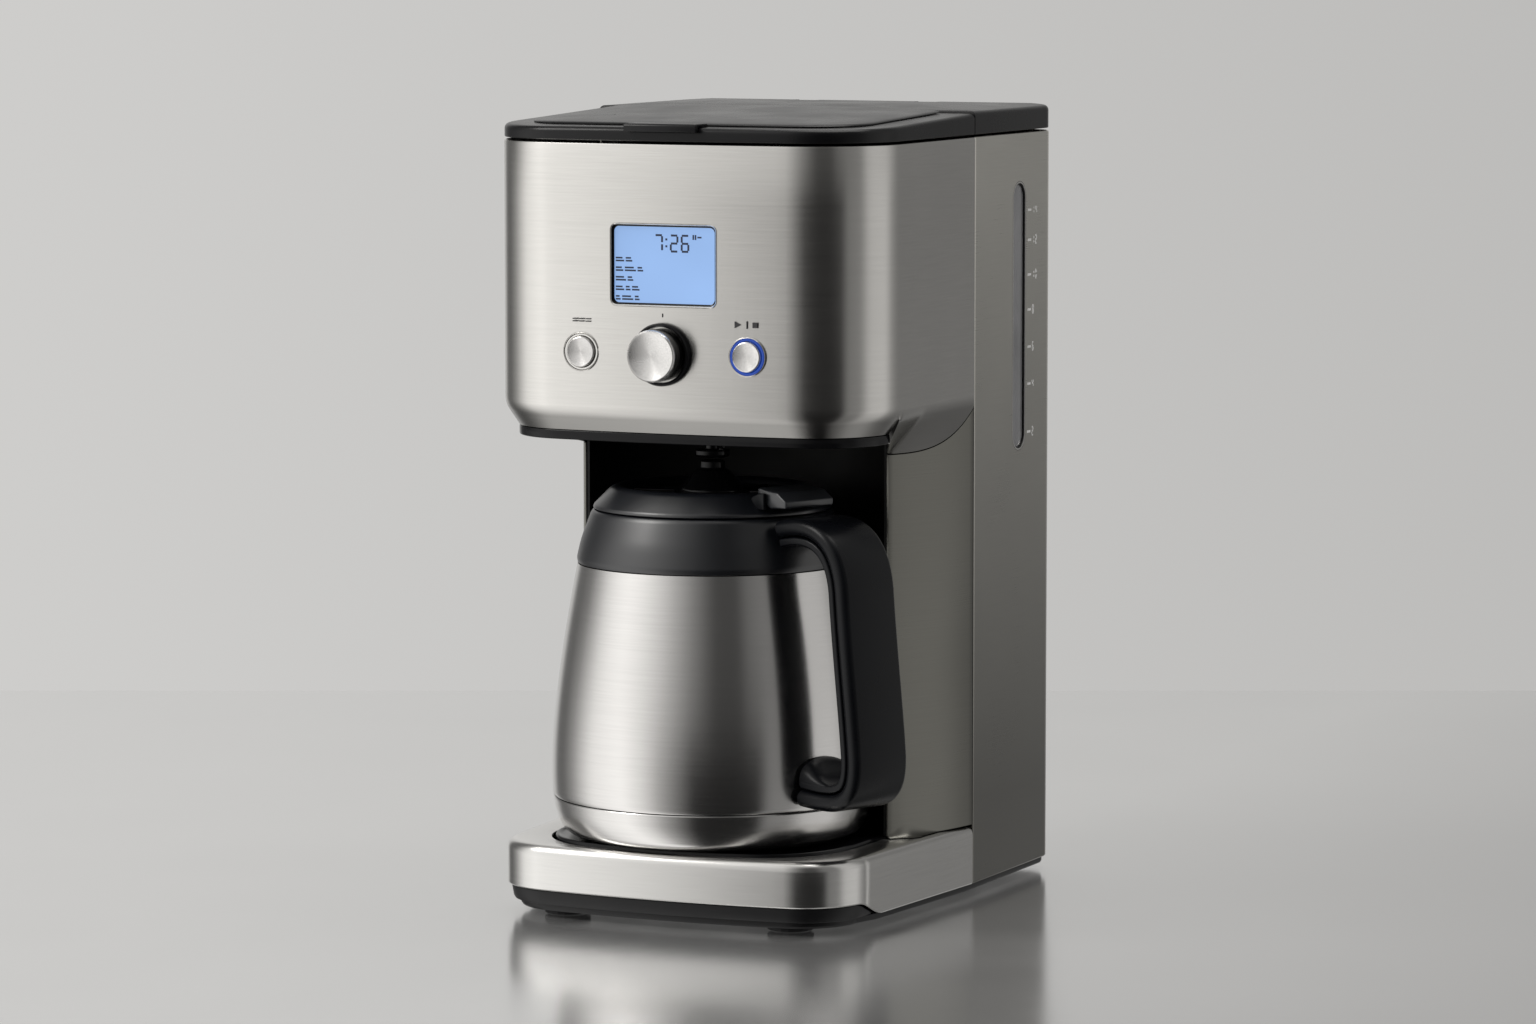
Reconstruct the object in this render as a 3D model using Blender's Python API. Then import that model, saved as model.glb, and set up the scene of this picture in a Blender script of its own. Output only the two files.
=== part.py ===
"""Drip coffee maker with a thermal carafe.

Metres, +Z up. The front faces -Y. Shapes are written in the machine's own coordinates: X from its centre
plane, Y back from the front of the head, Z up from the table. The parent empty then moves everything so
that the world origin lies under the middle of the whole object.
"""

import math

import bmesh
import bpy
from mathutils import Matrix, Vector

# Overall
HALF_WIDTH = 0.105
SEAM_Y = 0.1441
REAR_START_Y = 0.1449
REAR_Y = 0.255
REAR_RADIUS = 0.014
CENTRE_X = 0.0061
CENTRE_Y = 0.1234
SHEET = 0.0012
GAP = 0.0004

# Head
STEEL_TOP = 0.3856
CREASE_Z = 0.254
CHAMFER_Z = 0.2435
CHAMFER_INSET = 0.007
TRIM_BOTTOM = 0.2385
TRIM_END_Y = 0.052
CORNER_RADIUS = 0.045
FRONT_BOW = 0.003

# Column, a wall on each side of the carafe bay
COLUMN_FRONT = Vector((0.0841, 0.0840))
COLUMN_BULGE = Vector((0.0995, 0.1100))
COLUMN_SHEET = 0.001
SWOOSH_LOW = 0.2303
SWOOSH_RISE = 0.0192
BAY_HALF = 0.0814
BAY_STRAIGHT_Y = 0.100
BAY_BACK_Y = 0.1555
BAY_LINER = 0.0014
BULKHEAD_Y = 0.1578

# Base
BASE_HALF = 0.0965
BASE_FRONT_Y = -0.0085
BASE_RADIUS = 0.034
BASE_BOW = 0.004
BASE_LOW_FRONT = 0.0145
BASE_LOW_SIDE = 0.0070
BASE_STEP_START = 0.022
BASE_STEP_END = 0.046
BASE_SHOULDER = 0.0320
BASE_TOP = 0.0372
PAN_LOW = 0.0030
PAN_TOP = 0.0064
MAT_TOP = 0.0385
FOOT_X = 0.061
FOOT_FRONT_Y = 0.017
FOOT_REAR_Y = 0.225
FOOT_RADIUS = 0.0115

# Lids
LID_BOTTOM = 0.3868
LID_WALL = 0.0025
LID_RIM_FRONT = 0.3925
LID_RIM_REAR = 0.3972
LID_DOME = 0.0030
HINGE_BAR = 0.0065
HINGE_RADIUS = 0.0027
PIN_RADIUS = 0.0011
BORE_RADIUS = 0.0014
HINGE_X = 0.034
EAR_WIDTH = 0.011
NOTCH_WIDTH = 0.0125
LID_AXIS_Y = 0.1411
LID_AXIS_Z = 0.3970
TANK_AXIS_Y = 0.2508
TANK_AXIS_Z = 0.3955

# Controls on the head's front
CONTROL_Z = 0.283
BUTTON_X = 0.0448
BUTTON_Y = 0.0016
BUTTON_RADIUS = 0.0075
RING_RADIUS = 0.0091
DIAL_RADIUS = 0.0128
DIAL_REACH = 0.0145
BEZEL_RADIUS = 0.0155
SCREEN_HALF = 0.029
SCREEN_LOW = 0.306
SCREEN_HIGH = 0.347

# Brewing parts share the carafe's axis
CARAFE_X = -0.003
CARAFE_Y = 0.064
CHAMBER_TOP = 0.3735
FLOOR_LOW = 0.2560
FLOOR_TOP = 0.2580
OUTLET_Z = 0.2375
VALVE_FOOT_Z = 0.2275

# Carafe
CARAFE_BOTTOM = 0.0388
LOWER_SEAM = 0.0587
CARAFE_STEPS = 36
COLLAR_SEAM = 0.1747
COLLAR_TOP = 0.2022
COLLAR_RADIUS = 0.0600
HANDLE_ANGLE = math.radians(-23)
HANDLE_WIDTH = 0.036
LEVER_RADIUS = 0.0560
LEVER_Z = 0.2128

# Rear
WINDOW_Y = 0.204
WINDOW_HALF = 0.009
WINDOW_LOW = 0.223
WINDOW_HIGH = 0.361
TANK_LOW = 0.046
TANK_HIGH = 0.3795

STEEL = ((0.60, 0.59, 0.57), 0.32, 1.0)
POLISHED = ((0.72, 0.71, 0.70), 0.22, 1.0)
BLACK = ((0.020, 0.021, 0.024), 0.42, 0.0)
MATT_BLACK = ((0.012, 0.012, 0.013), 0.65, 0.0)
RUBBER = ((0.010, 0.010, 0.011), 0.80, 0.0)
WINDOW_GREY = ((0.12, 0.12, 0.13), 0.25, 0.0)
SCREEN_BLUE = ((0.34, 0.52, 0.86), 0.30, 0.0)
RING_BLUE = ((0.03, 0.12, 0.50), 0.35, 0.0)
BOARD_GREEN = ((0.02, 0.16, 0.06), 0.50, 0.0)
GOLD = ((0.70, 0.50, 0.18), 0.30, 1.0)
CLEAR_GREY = ((0.42, 0.44, 0.46), 0.30, 0.0)
SILICONE = ((0.55, 0.55, 0.55), 0.55, 0.0)


def clear_scene():
    for obj in list(bpy.data.objects):
        bpy.data.objects.remove(obj, do_unlink=True)


def add_empty(name, place):
    empty = bpy.data.objects.new(name, None)
    empty.location = place
    bpy.context.collection.objects.link(empty)
    return empty


def principled(name, finish):
    colour, roughness, metallic = finish
    material = bpy.data.materials.new(name)
    material.use_nodes = True
    shader = material.node_tree.nodes["Principled BSDF"]
    shader.inputs["Base Color"].default_value = (*colour, 1.0)
    shader.inputs["Roughness"].default_value = roughness
    shader.inputs["Metallic"].default_value = metallic
    return material


def add_piece(name, bm, finish, parent, origin=(0.0, 0.0, 0.0)):
    """A named object from geometry in machine coordinates, with its origin at the place given."""
    origin = Vector(origin)
    bmesh.ops.translate(bm, verts=bm.verts, vec=-origin)
    bmesh.ops.recalc_face_normals(bm, faces=bm.faces)
    if bm.calc_volume(signed=True) < 0:
        bmesh.ops.reverse_faces(bm, faces=bm.faces)
    mesh = bpy.data.meshes.new(name)
    bm.to_mesh(mesh)
    bm.free()
    mesh.shade_smooth()
    mesh.set_sharp_from_angle(angle=math.radians(30))
    mesh.materials.append(principled(name, finish))
    obj = bpy.data.objects.new(name, mesh)
    obj.location = origin
    obj.parent = parent
    bpy.context.collection.objects.link(obj)
    return obj


def add_helper(name, bm, parent):
    """A hidden shape for a Boolean modifier."""
    helper = add_piece(name, bm, MATT_BLACK, parent)
    helper.hide_render = True
    helper.display_type = "WIRE"
    return helper


def boolean(obj, helper, operation="DIFFERENCE"):
    modifier = obj.modifiers.new(helper.name, "BOOLEAN")
    modifier.object = helper
    modifier.operation = operation
    modifier.solver = "EXACT"
    modifier.use_self = True


# ---------------------------------------------------------------- solids


def loft(loops):
    """A closed solid through equal loops of points, capped at both ends."""
    bm = bmesh.new()
    rings = [[bm.verts.new(point) for point in loop] for loop in loops]
    for lower, upper in zip(rings, rings[1:]):
        for i, start in enumerate(lower):
            j = (i + 1) % len(lower)
            bm.faces.new((start, lower[j], upper[j], upper[i]))
    bm.faces.new(rings[0][::-1])
    bm.faces.new(rings[-1])
    return bm


def sheet(outer_rows, inner_rows):
    """A curved plate between two equal grids of points."""
    bm = bmesh.new()
    outer = [[bm.verts.new(point) for point in row] for row in outer_rows]
    inner = [[bm.verts.new(point) for point in row] for row in inner_rows]
    rows, columns = len(outer), len(outer[0])
    for r in range(rows - 1):
        for c in range(columns - 1):
            for grid in (outer, inner):
                bm.faces.new((grid[r][c], grid[r][c + 1], grid[r + 1][c + 1], grid[r + 1][c]))
    for r in (0, rows - 1):
        for c in range(columns - 1):
            bm.faces.new((outer[r][c], outer[r][c + 1], inner[r][c + 1], inner[r][c]))
    for c in (0, columns - 1):
        for r in range(rows - 1):
            bm.faces.new((outer[r][c], outer[r + 1][c], inner[r + 1][c], inner[r][c]))
    return bm


def extrude(outline, low, high, axis="Z"):
    """An outline pushed along an axis. It is given in (y, z), (x, z) or (x, y) for X, Y or Z."""
    place = {
        "X": lambda point, depth: (depth, point[0], point[1]),
        "Y": lambda point, depth: (point[0], depth, point[1]),
        "Z": lambda point, depth: (point[0], point[1], depth),
    }[axis]
    return loft([[place(point, depth) for point in outline] for depth in (low, high)])


def block(low, high):
    (x0, y0, z0), (x1, y1, z1) = low, high
    return extrude([(x0, y0), (x1, y0), (x1, y1), (x0, y1)], z0, z1)


def lathe(profile, steps=40, closed=True):
    """A profile of (radius, height) turned round Z. A closed one joins its last point to its first."""
    bm = bmesh.new()
    columns = []
    for radius, height in profile:
        if radius == 0:
            columns.append([bm.verts.new((0, 0, height))])
            continue
        turns = [2 * math.pi * k / steps for k in range(steps)]
        columns.append(
            [bm.verts.new((radius * math.cos(t), radius * math.sin(t), height)) for t in turns]
        )
    pairs = list(zip(columns, columns[1:]))
    if closed:
        pairs.append((columns[-1], columns[0]))
    for first, second in pairs:
        for k in range(steps):
            n = (k + 1) % steps
            corners = [first[k % len(first)], first[n % len(first)]]
            corners += [second[n % len(second)], second[k % len(second)]]
            corners = list(dict.fromkeys(corners))
            if len(corners) > 2:
                bm.faces.new(corners)
    return bm


def moved(bm, x=0.0, y=0.0, z=0.0):
    bmesh.ops.translate(bm, verts=bm.verts, vec=(x, y, z))
    return bm


def facing_front(bm, x, y, z):
    """Turns a lathed shape so that its height points out of the front, and places it."""
    bmesh.ops.rotate(bm, verts=bm.verts, cent=(0, 0, 0), matrix=Matrix.Rotation(math.pi / 2, 3, "X"))
    return moved(bm, x, y, z)


def cylinder_x(radius, x0, x1, y, z, steps=16):
    circle = [
        (y + radius * math.cos(2 * math.pi * k / steps), z + radius * math.sin(2 * math.pi * k / steps))
        for k in range(steps)
    ]
    return extrude(circle, x0, x1, "X")


def merged(*shapes):
    """One helper mesh from several closed shapes."""
    total = bmesh.new()
    for shape in shapes:
        mesh = bpy.data.meshes.new("part_of_helper")
        shape.to_mesh(mesh)
        shape.free()
        total.from_mesh(mesh)
        bpy.data.meshes.remove(mesh)
    return total


def add_tube(name, points, radius, finish, parent):
    """A round tube or wire along points."""
    curve = bpy.data.curves.new(name, "CURVE")
    curve.dimensions = "3D"
    curve.bevel_depth = radius
    curve.bevel_resolution = 2
    curve.use_fill_caps = True
    spline = curve.splines.new("POLY")
    spline.points.add(len(points) - 1)
    for slot, point in zip(spline.points, points):
        slot.co = (*point, 1.0)
        slot.radius = 1.0
    curve.materials.append(principled(name, finish))
    obj = bpy.data.objects.new(name, curve)
    obj.parent = parent
    bpy.context.collection.objects.link(obj)
    return obj


# ---------------------------------------------------------------- outlines


def arc(cx, cy, radius, start, end, steps):
    """Points on an arc, angles in degrees, both ends included."""
    angles = [math.radians(start + (end - start) * k / steps) for k in range(steps + 1)]
    return [(cx + radius * math.cos(a), cy + radius * math.sin(a)) for a in angles]


def rounded_rectangle(x0, x1, y0, y1, radius, steps=5):
    points = arc(x1 - radius, y0 + radius, radius, -90, 0, steps)
    points += arc(x1 - radius, y1 - radius, radius, 0, 90, steps)
    points += arc(x0 + radius, y1 - radius, radius, 90, 180, steps)
    points += arc(x0 + radius, y0 + radius, radius, 180, 270, steps)
    return points


def front_outline(half_width, front_y, radius, bow, side, corner_steps=7, front_steps=8):
    """From the rear left, round a bowed front with round corners, to the rear right.

    side lists (x, y) points of the right side from the corner back; the left side mirrors it.
    """
    edge = half_width - radius
    for _ in range(6):
        lean = math.atan(2 * bow / edge)
        edge = half_width - radius * (1 - math.sin(lean))
    centre_x = edge - radius * math.sin(lean)
    centre_y = front_y + bow + radius * math.cos(lean)
    right = [
        (edge * k / (front_steps / 2), front_y + bow * (k / (front_steps / 2)) ** 2)
        for k in range(1, front_steps // 2)
    ]
    right += arc(centre_x, centre_y, radius, -90 + math.degrees(lean), 0, corner_steps)
    right += side
    return [(-x, y) for x, y in reversed(right)] + [(0.0, front_y)] + right


def at_height(outline, height):
    """An outline lifted to a height, or to height(x, y)."""
    if callable(height):
        return [(x, y, height(x, y)) for x, y in outline]
    return [(x, y, height) for x, y in outline]


def column_points(steps=6, inset=0.0):
    """The column's side from its front edge back to the seam, as (x, y) on the right."""
    start, bulge, end = COLUMN_FRONT, COLUMN_BULGE, Vector((HALF_WIDTH - 0.0004, SEAM_Y))
    points = []
    for k in range(steps + 1):
        t = k / steps
        point = start * (1 - t) ** 2 + bulge * 2 * t * (1 - t) + end * t * t
        points.append((point.x - inset, point.y))
    return points


def swoosh_height(step, steps=6):
    """Height of the head's lower edge along the column."""
    return SWOOSH_LOW + SWOOSH_RISE * (step / steps) ** 3


def smoothstep(value, low, high):
    t = min(1.0, max(0.0, (value - low) / (high - low)))
    return t * t * (3 - 2 * t)


# ---------------------------------------------------------------- head


def head_rows(inset):
    """Three rows of the head wrap: top edge, crease and lower edge."""
    column = column_points(inset=inset)
    straight = [(HALF_WIDTH - inset, TRIM_END_Y), (HALF_WIDTH - inset, TRIM_END_Y + 0.001)]
    straight += [(HALF_WIDTH - inset, y) for _, y in column]
    wall = front_outline(
        HALF_WIDTH - inset, inset, CORNER_RADIUS - inset, FRONT_BOW, straight
    )
    drop = 0.003 / (SEAM_Y - TRIM_END_Y)
    crease = at_height(wall, lambda x, y: CREASE_Z - max(0.0, y - TRIM_END_Y) * drop)
    shift = CHAMFER_INSET + inset
    under = [(HALF_WIDTH - shift, TRIM_END_Y), (HALF_WIDTH - shift, TRIM_END_Y + 0.001)] + column
    lower = front_outline(HALF_WIDTH - shift, shift, CORNER_RADIUS - shift, FRONT_BOW, under)
    edge = at_height(lower, CHAMFER_Z)
    tail = [TRIM_BOTTOM] + [swoosh_height(k) for k in range(7)]
    for k, height in enumerate(reversed(tail)):
        for index in (k, len(edge) - 1 - k):
            x, y, _ = edge[index]
            edge[index] = (x, y, height)
    return [at_height(wall, STEEL_TOP), crease, edge]


def head_panel(machine):
    panel = add_piece("head_panel", sheet(head_rows(0.0), head_rows(SHEET)), STEEL, machine)
    screen = rounded_rectangle(-SCREEN_HALF, SCREEN_HALF, SCREEN_LOW, SCREEN_HIGH, 0.004)
    holes = [extrude(screen, -0.01, 0.02, "Y")]
    for x, radius in ((-BUTTON_X, 0.0094), (BUTTON_X, 0.0094), (0.0, 0.0050)):
        cutter = lathe([(0, -0.02), (radius, -0.02), (radius, 0.01), (0, 0.01)], 32, False)
        holes.append(facing_front(cutter, x, 0, CONTROL_Z))
    boolean(panel, add_helper("head_openings", merged(*holes), machine))


def head_trim(machine):
    inner, outer = 0.013, CHAMFER_INSET
    wide = front_outline(
        HALF_WIDTH - outer, outer, CORNER_RADIUS - outer, FRONT_BOW, [(HALF_WIDTH - outer, 0.0515)]
    )
    narrow = front_outline(
        HALF_WIDTH - inner, inner, CORNER_RADIUS - inner, FRONT_BOW, [(HALF_WIDTH - inner, 0.0515)]
    )
    outline = wide + narrow[::-1]
    add_piece("head_trim", extrude(outline, TRIM_BOTTOM, CHAMFER_Z - GAP), BLACK, machine)


def head_floor(machine):
    inset = 0.0135
    sides = [(0.0905, TRIM_END_Y), (0.0815, 0.083), (0.0815, BULKHEAD_Y - GAP)]
    outline = front_outline(HALF_WIDTH - inset, inset, CORNER_RADIUS - inset, FRONT_BOW, sides)
    plate = add_piece("head_floor", extrude(outline, 0.2402, 0.2424), MATT_BLACK, machine)
    hole = lathe([(0, 0.23), (0.0140, 0.23), (0.0140, 0.25), (0, 0.25)], 32, False)
    hole = moved(hole, CARAFE_X, CARAFE_Y)
    boolean(plate, add_helper("floor_opening", hole, machine))


def columns(machine):
    for name, sign in (("column_side_left", -1), ("column_side_right", 1)):
        rows = []
        for inset in (0.0, COLUMN_SHEET):
            path = column_points(inset=inset)
            low = [(sign * x, y, BASE_TOP + GAP) for x, y in path]
            high = [(sign * x, y, swoosh_height(k) - 0.0006) for k, (x, y) in enumerate(path)]
            rows.append([high, low])
        add_piece(name, sheet(*rows), STEEL, machine)


def bay_path(offset):
    """Plan of the carafe bay's wall, from its left front edge round the back to the right."""
    right = [(BAY_HALF + offset, COLUMN_FRONT.y + 0.0006)]
    for k in range(9):
        t = math.radians(90 * k / 8)
        x = (BAY_HALF + offset) * math.cos(t)
        y = BAY_STRAIGHT_Y + (BAY_BACK_Y - BAY_STRAIGHT_Y + offset) * math.sin(t)
        right.append((x, y))
    return [(-x, y) for x, y in right] + right[-2::-1]


def bay_liner(machine):
    rows = []
    for offset in (0.0, BAY_LINER):
        path = bay_path(offset)
        rows.append([at_height(path, 0.2398), at_height(path, MAT_TOP + GAP)])
    add_piece("bay_liner", sheet(*rows), MATT_BLACK, machine)


def bulkhead(machine):
    wall = block((-0.1005, BULKHEAD_Y, 0.040), (0.1005, BULKHEAD_Y + 0.002, 0.3830))
    add_piece("bulkhead", wall, MATT_BLACK, machine)


# ---------------------------------------------------------------- base


def steel_low(x, y):
    """Lower edge of the base cover: higher round the front than along the sides."""
    step = smoothstep(y, BASE_STEP_START, BASE_STEP_END)
    return BASE_LOW_FRONT + (BASE_LOW_SIDE - BASE_LOW_FRONT) * step


def base_side(y):
    """Half width of the base, which widens from the front corner to the seam."""
    return BASE_HALF + (HALF_WIDTH - BASE_HALF) * (y - 0.026) / (SEAM_Y - 0.026)


def base_outline(inset, radius):
    depths = [0.046, 0.066] + [y for _, y in column_points()]
    side = [(base_side(y) - inset, y) for y in depths]
    return front_outline(BASE_HALF - inset, BASE_FRONT_Y + inset, radius, BASE_BOW, side)


def recess_outline(offset):
    """Edge of the deck opening: round the carafe in front, along the column behind."""
    column = column_points(inset=0.0015)
    side = [(0.0800 + offset, 0.054), (0.0805 + offset, 0.069)]
    side += [(min(x + offset, base_side(y) - 0.0060), y) for x, y in column]
    return front_outline(0.0790 + offset, -0.0015 - offset, 0.046 + offset, BASE_BOW, side)


def base_cover(machine):
    def rows(depth):
        return [
            at_height(base_outline(depth, BASE_RADIUS - depth), steel_low),
            at_height(base_outline(depth, BASE_RADIUS - depth), BASE_SHOULDER),
            at_height(base_outline(0.0012 + depth, BASE_RADIUS - depth), BASE_SHOULDER + 0.0030 - depth),
            at_height(base_outline(0.0042 + depth, BASE_RADIUS - 0.004 - depth), BASE_TOP - depth),
        ]

    lip = at_height(recess_outline(0.0006), BASE_TOP)
    under = at_height(recess_outline(0.0006), BASE_TOP - SHEET)
    outer, inner = rows(0.0), rows(SHEET)
    outer[-1] = at_height(base_outline(0.0038, BASE_RADIUS - 0.004), BASE_TOP - 0.0004)
    inner[-1] = at_height(base_outline(0.0046, BASE_RADIUS - 0.005), BASE_TOP - SHEET - 0.0004)
    add_piece("base_cover", sheet(outer + [lip], inner + [under]), STEEL, machine)


def front_plinth(machine):
    def band(inset):
        side = [(BASE_HALF - inset + 0.0008, 0.040)]
        return front_outline(
            BASE_HALF - inset, BASE_FRONT_Y + inset, BASE_RADIUS - inset, BASE_BOW, side
        )

    outline = band(0.0018) + band(0.0100)[::-1]
    bottom = at_height(band(0.0036) + band(0.0100)[::-1], PAN_TOP + GAP)
    top = at_height(outline, lambda x, y: steel_low(x, y) - 0.0005)
    add_piece("front_plinth", loft([bottom, top]), BLACK, machine)


def base_pan(machine):
    inset = 0.0060
    side = [(0.0905, 0.046), (HALF_WIDTH - 0.002, 0.140), (HALF_WIDTH - 0.002, REAR_Y - 0.014)]
    side += arc(HALF_WIDTH - 0.014, REAR_Y - 0.014, 0.012, 0, 90, 4)[1:]
    outline = front_outline(
        BASE_HALF - inset, BASE_FRONT_Y + inset, BASE_RADIUS - inset, BASE_BOW, side
    )
    add_piece("base_pan", extrude(outline, PAN_LOW, PAN_TOP), MATT_BLACK, machine)


def carafe_mat(machine):
    side = [(0.0790, 0.054), (0.0792, 0.069), (0.0792, 0.084)]
    outline = front_outline(0.0782, 0.0, 0.046, BASE_BOW, side)
    back = bay_path(-0.0004)
    outline += [(x, y) for x, y in reversed(back) if y > 0.086]
    add_piece("carafe_mat", extrude(outline, 0.0342, MAT_TOP), MATT_BLACK, machine)


def feet(machine):
    profile = [(0, 0), (0.0095, 0), (FOOT_RADIUS, 0.0012), (FOOT_RADIUS, PAN_LOW - 0.0003)]
    profile.append((0, PAN_LOW - 0.0003))
    places = {"front_left": (-1, FOOT_FRONT_Y), "front_right": (1, FOOT_FRONT_Y)}
    places.update({"rear_left": (-1, FOOT_REAR_Y), "rear_right": (1, FOOT_REAR_Y)})
    for name, (sign, y) in places.items():
        foot = moved(lathe(profile, 20, False), sign * FOOT_X, y)
        add_piece("foot_" + name, foot, RUBBER, machine)


# ---------------------------------------------------------------- rear module


def rear_outline(inset, front_y, rear_inset=None):
    """From the front right, round the back, to the front left."""
    rear = REAR_Y - (inset if rear_inset is None else rear_inset)
    radius = max(0.002, REAR_RADIUS - inset)
    right = [(HALF_WIDTH - inset, front_y)]
    right += arc(HALF_WIDTH - inset - radius, rear - radius, radius, 0, 90, 5)
    return right + [(-x, y) for x, y in reversed(right)]


def tank_wrap(machine):
    rows = []
    for inset in (0.0, SHEET):
        path = rear_outline(inset, REAR_START_Y)
        rows.append([at_height(path, STEEL_TOP), at_height(path, BASE_LOW_SIDE)])
    wrap = add_piece("tank_wrap", sheet(*rows), STEEL, machine)
    slot = rounded_rectangle(
        WINDOW_Y - WINDOW_HALF, WINDOW_Y + WINDOW_HALF, WINDOW_LOW, WINDOW_HIGH, WINDOW_HALF - 0.0003, 6
    )
    boolean(wrap, add_helper("window_opening", extrude(slot, 0.09, 0.12, "X"), machine))


def water_tank(machine):
    outer = rounded_rectangle(-0.0995, 0.0995, 0.1612, 0.2520, 0.010, 4)
    inner = rounded_rectangle(-0.0977, 0.0977, 0.1630, 0.2502, 0.0082, 4)
    shell = loft(
        [
            at_height(inner, TANK_LOW + 0.0018),
            at_height(inner, TANK_HIGH),
            at_height(outer, TANK_HIGH),
            at_height(outer, TANK_LOW),
        ]
    )
    add_piece("water_tank", shell, CLEAR_GREY, machine)


def level_window(machine):
    pane = rounded_rectangle(
        WINDOW_Y - 0.0112, WINDOW_Y + 0.0112, WINDOW_LOW - 0.002, WINDOW_HIGH + 0.002, 0.0104, 6
    )
    add_piece("level_window", extrude(pane, 0.1008, 0.1034, "X"), WINDOW_GREY, machine)


def cord_gland(machine):
    profile = [(0.0035, 0), (0.0090, 0), (0.0090, 0.002), (0.0060, 0.003), (0.0052, 0.008), (0.0035, 0.008)]
    gland = lathe(profile, 24)
    turn = Matrix.Rotation(-math.pi / 2, 3, "X")
    bmesh.ops.rotate(gland, verts=gland.verts, cent=(0, 0, 0), matrix=turn)
    add_piece("cord_gland", moved(gland, 0.062, REAR_Y + 0.0003, 0.034), BLACK, machine)


# ---------------------------------------------------------------- lids


def lid_height(x, y):
    """Upper surface of both lids: rising to the seam and domed across."""
    rise = min(1.0, max(0.0, y / SEAM_Y))
    rim = LID_RIM_FRONT + (LID_RIM_REAR - LID_RIM_FRONT) * rise
    return rim + LID_DOME * (0.35 + 0.65 * rise) * (1 - (x / HALF_WIDTH) ** 2)


def lid_outline(inset, rear_inset):
    side = [(HALF_WIDTH - inset, 0.075), (HALF_WIDTH - inset, SEAM_Y - rear_inset)]
    return front_outline(
        HALF_WIDTH - inset, inset, max(0.010, CORNER_RADIUS - inset), FRONT_BOW, side, front_steps=12
    )


def brew_lid(machine, hinge):
    wall = LID_WALL
    bar = HINGE_BAR
    loops = [
        at_height(lid_outline(0.045, 0.045), lambda x, y: lid_height(x, y) - wall),
        at_height(lid_outline(0.008, bar + 0.001), lambda x, y: lid_height(x, y) - wall),
        at_height(lid_outline(wall, bar), lambda x, y: lid_height(x, y) - wall - 0.0010),
        at_height(lid_outline(wall, bar), LID_BOTTOM),
        at_height(lid_outline(0.0002, 0.0), LID_BOTTOM),
        at_height(lid_outline(0.0002, 0.0), lambda x, y: lid_height(x, y) - 0.0016),
        at_height(lid_outline(0.0016, 0.0012), lambda x, y: lid_height(x, y) - 0.0004),
        at_height(lid_outline(0.008, 0.008), lid_height),
        at_height(lid_outline(0.045, 0.045), lid_height),
    ]
    lid = add_piece("brew_lid", loft(loops), BLACK, machine, hinge)
    boolean(lid, add_helper("brew_lid_notches", hinge_cutters(*hinge[1:]), machine))


def brew_lid_panel(machine, hinge):
    def outline(inset):
        side = [(HALF_WIDTH - inset, 0.10), (HALF_WIDTH - inset, SEAM_Y - 0.012)]
        return front_outline(HALF_WIDTH - inset, inset - 0.003, 0.034, 0.006, side, front_steps=12)

    loops = [
        at_height(outline(0.050), lambda x, y: lid_height(x, y) + 0.0003),
        at_height(outline(0.014), lambda x, y: lid_height(x, y) + 0.0003),
        at_height(outline(0.014), lambda x, y: lid_height(x, y) + 0.0009),
        at_height(outline(0.0155), lambda x, y: lid_height(x, y) + 0.0014),
        at_height(outline(0.050), lambda x, y: lid_height(x, y) + 0.0014),
    ]
    add_piece("brew_lid_panel", loft(loops), BLACK, machine, hinge)


def brew_lid_tab(machine, hinge):
    """A finger tab that rests on the lid's front edge and turns down over it."""
    profile = [(-0.0035, 0.3916), (-0.0006, 0.3916), (-0.0006, 0.3943), (0.0105, 0.3943)]
    profile += [(0.0105, 0.3956), (-0.0027, 0.3956), (-0.0035, 0.3948)]
    tab = loft([[(x, y, z) for y, z in profile] for x in (-0.0195, 0.0195)])
    add_piece("brew_lid_tab", tab, BLACK, machine, hinge)


def tank_lid(machine, hinge):
    def outline(inset, front_inset, rear_inset):
        return rear_outline(inset, REAR_START_Y + front_inset, rear_inset)

    wall = LID_WALL
    top = 0.0012
    loops = [
        at_height(outline(0.045, 0.030, 0.045), lambda x, y: lid_height(x, y) - wall + top),
        at_height(outline(wall, wall, HINGE_BAR), lambda x, y: lid_height(x, y) - wall + top - 0.0008),
        at_height(outline(wall, wall, HINGE_BAR), LID_BOTTOM),
        at_height(outline(0.0002, 0.0, 0.0002), LID_BOTTOM),
        at_height(outline(0.0002, 0.0, 0.0002), lambda x, y: lid_height(x, y) + top - 0.0016),
        at_height(outline(0.0016, 0.0004, 0.0016), lambda x, y: lid_height(x, y) + top - 0.0004),
        at_height(outline(0.008, 0.006, 0.008), lambda x, y: lid_height(x, y) + top),
        at_height(outline(0.045, 0.030, 0.045), lambda x, y: lid_height(x, y) + top),
    ]
    lid = add_piece("tank_lid", loft(loops), BLACK, machine, hinge)
    boolean(lid, add_helper("tank_lid_notches", hinge_cutters(*hinge[1:]), machine))


def hinge_cutters(axis_y, axis_z):
    """Room for two hinge ears and a bore for the pin, in the bar along a lid's rear edge."""
    cutters = [cylinder_x(BORE_RADIUS, -HINGE_X - 0.013, HINGE_X + 0.013, axis_y, axis_z)]
    for sign in (-1, 1):
        low = (sign * HINGE_X - NOTCH_WIDTH / 2, axis_y - 0.0037, LID_BOTTOM - 0.01)
        high = (sign * HINGE_X + NOTCH_WIDTH / 2, axis_y + 0.010, axis_z + 0.02)
        cutters.append(block(low, high))
    return merged(*cutters)


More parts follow.
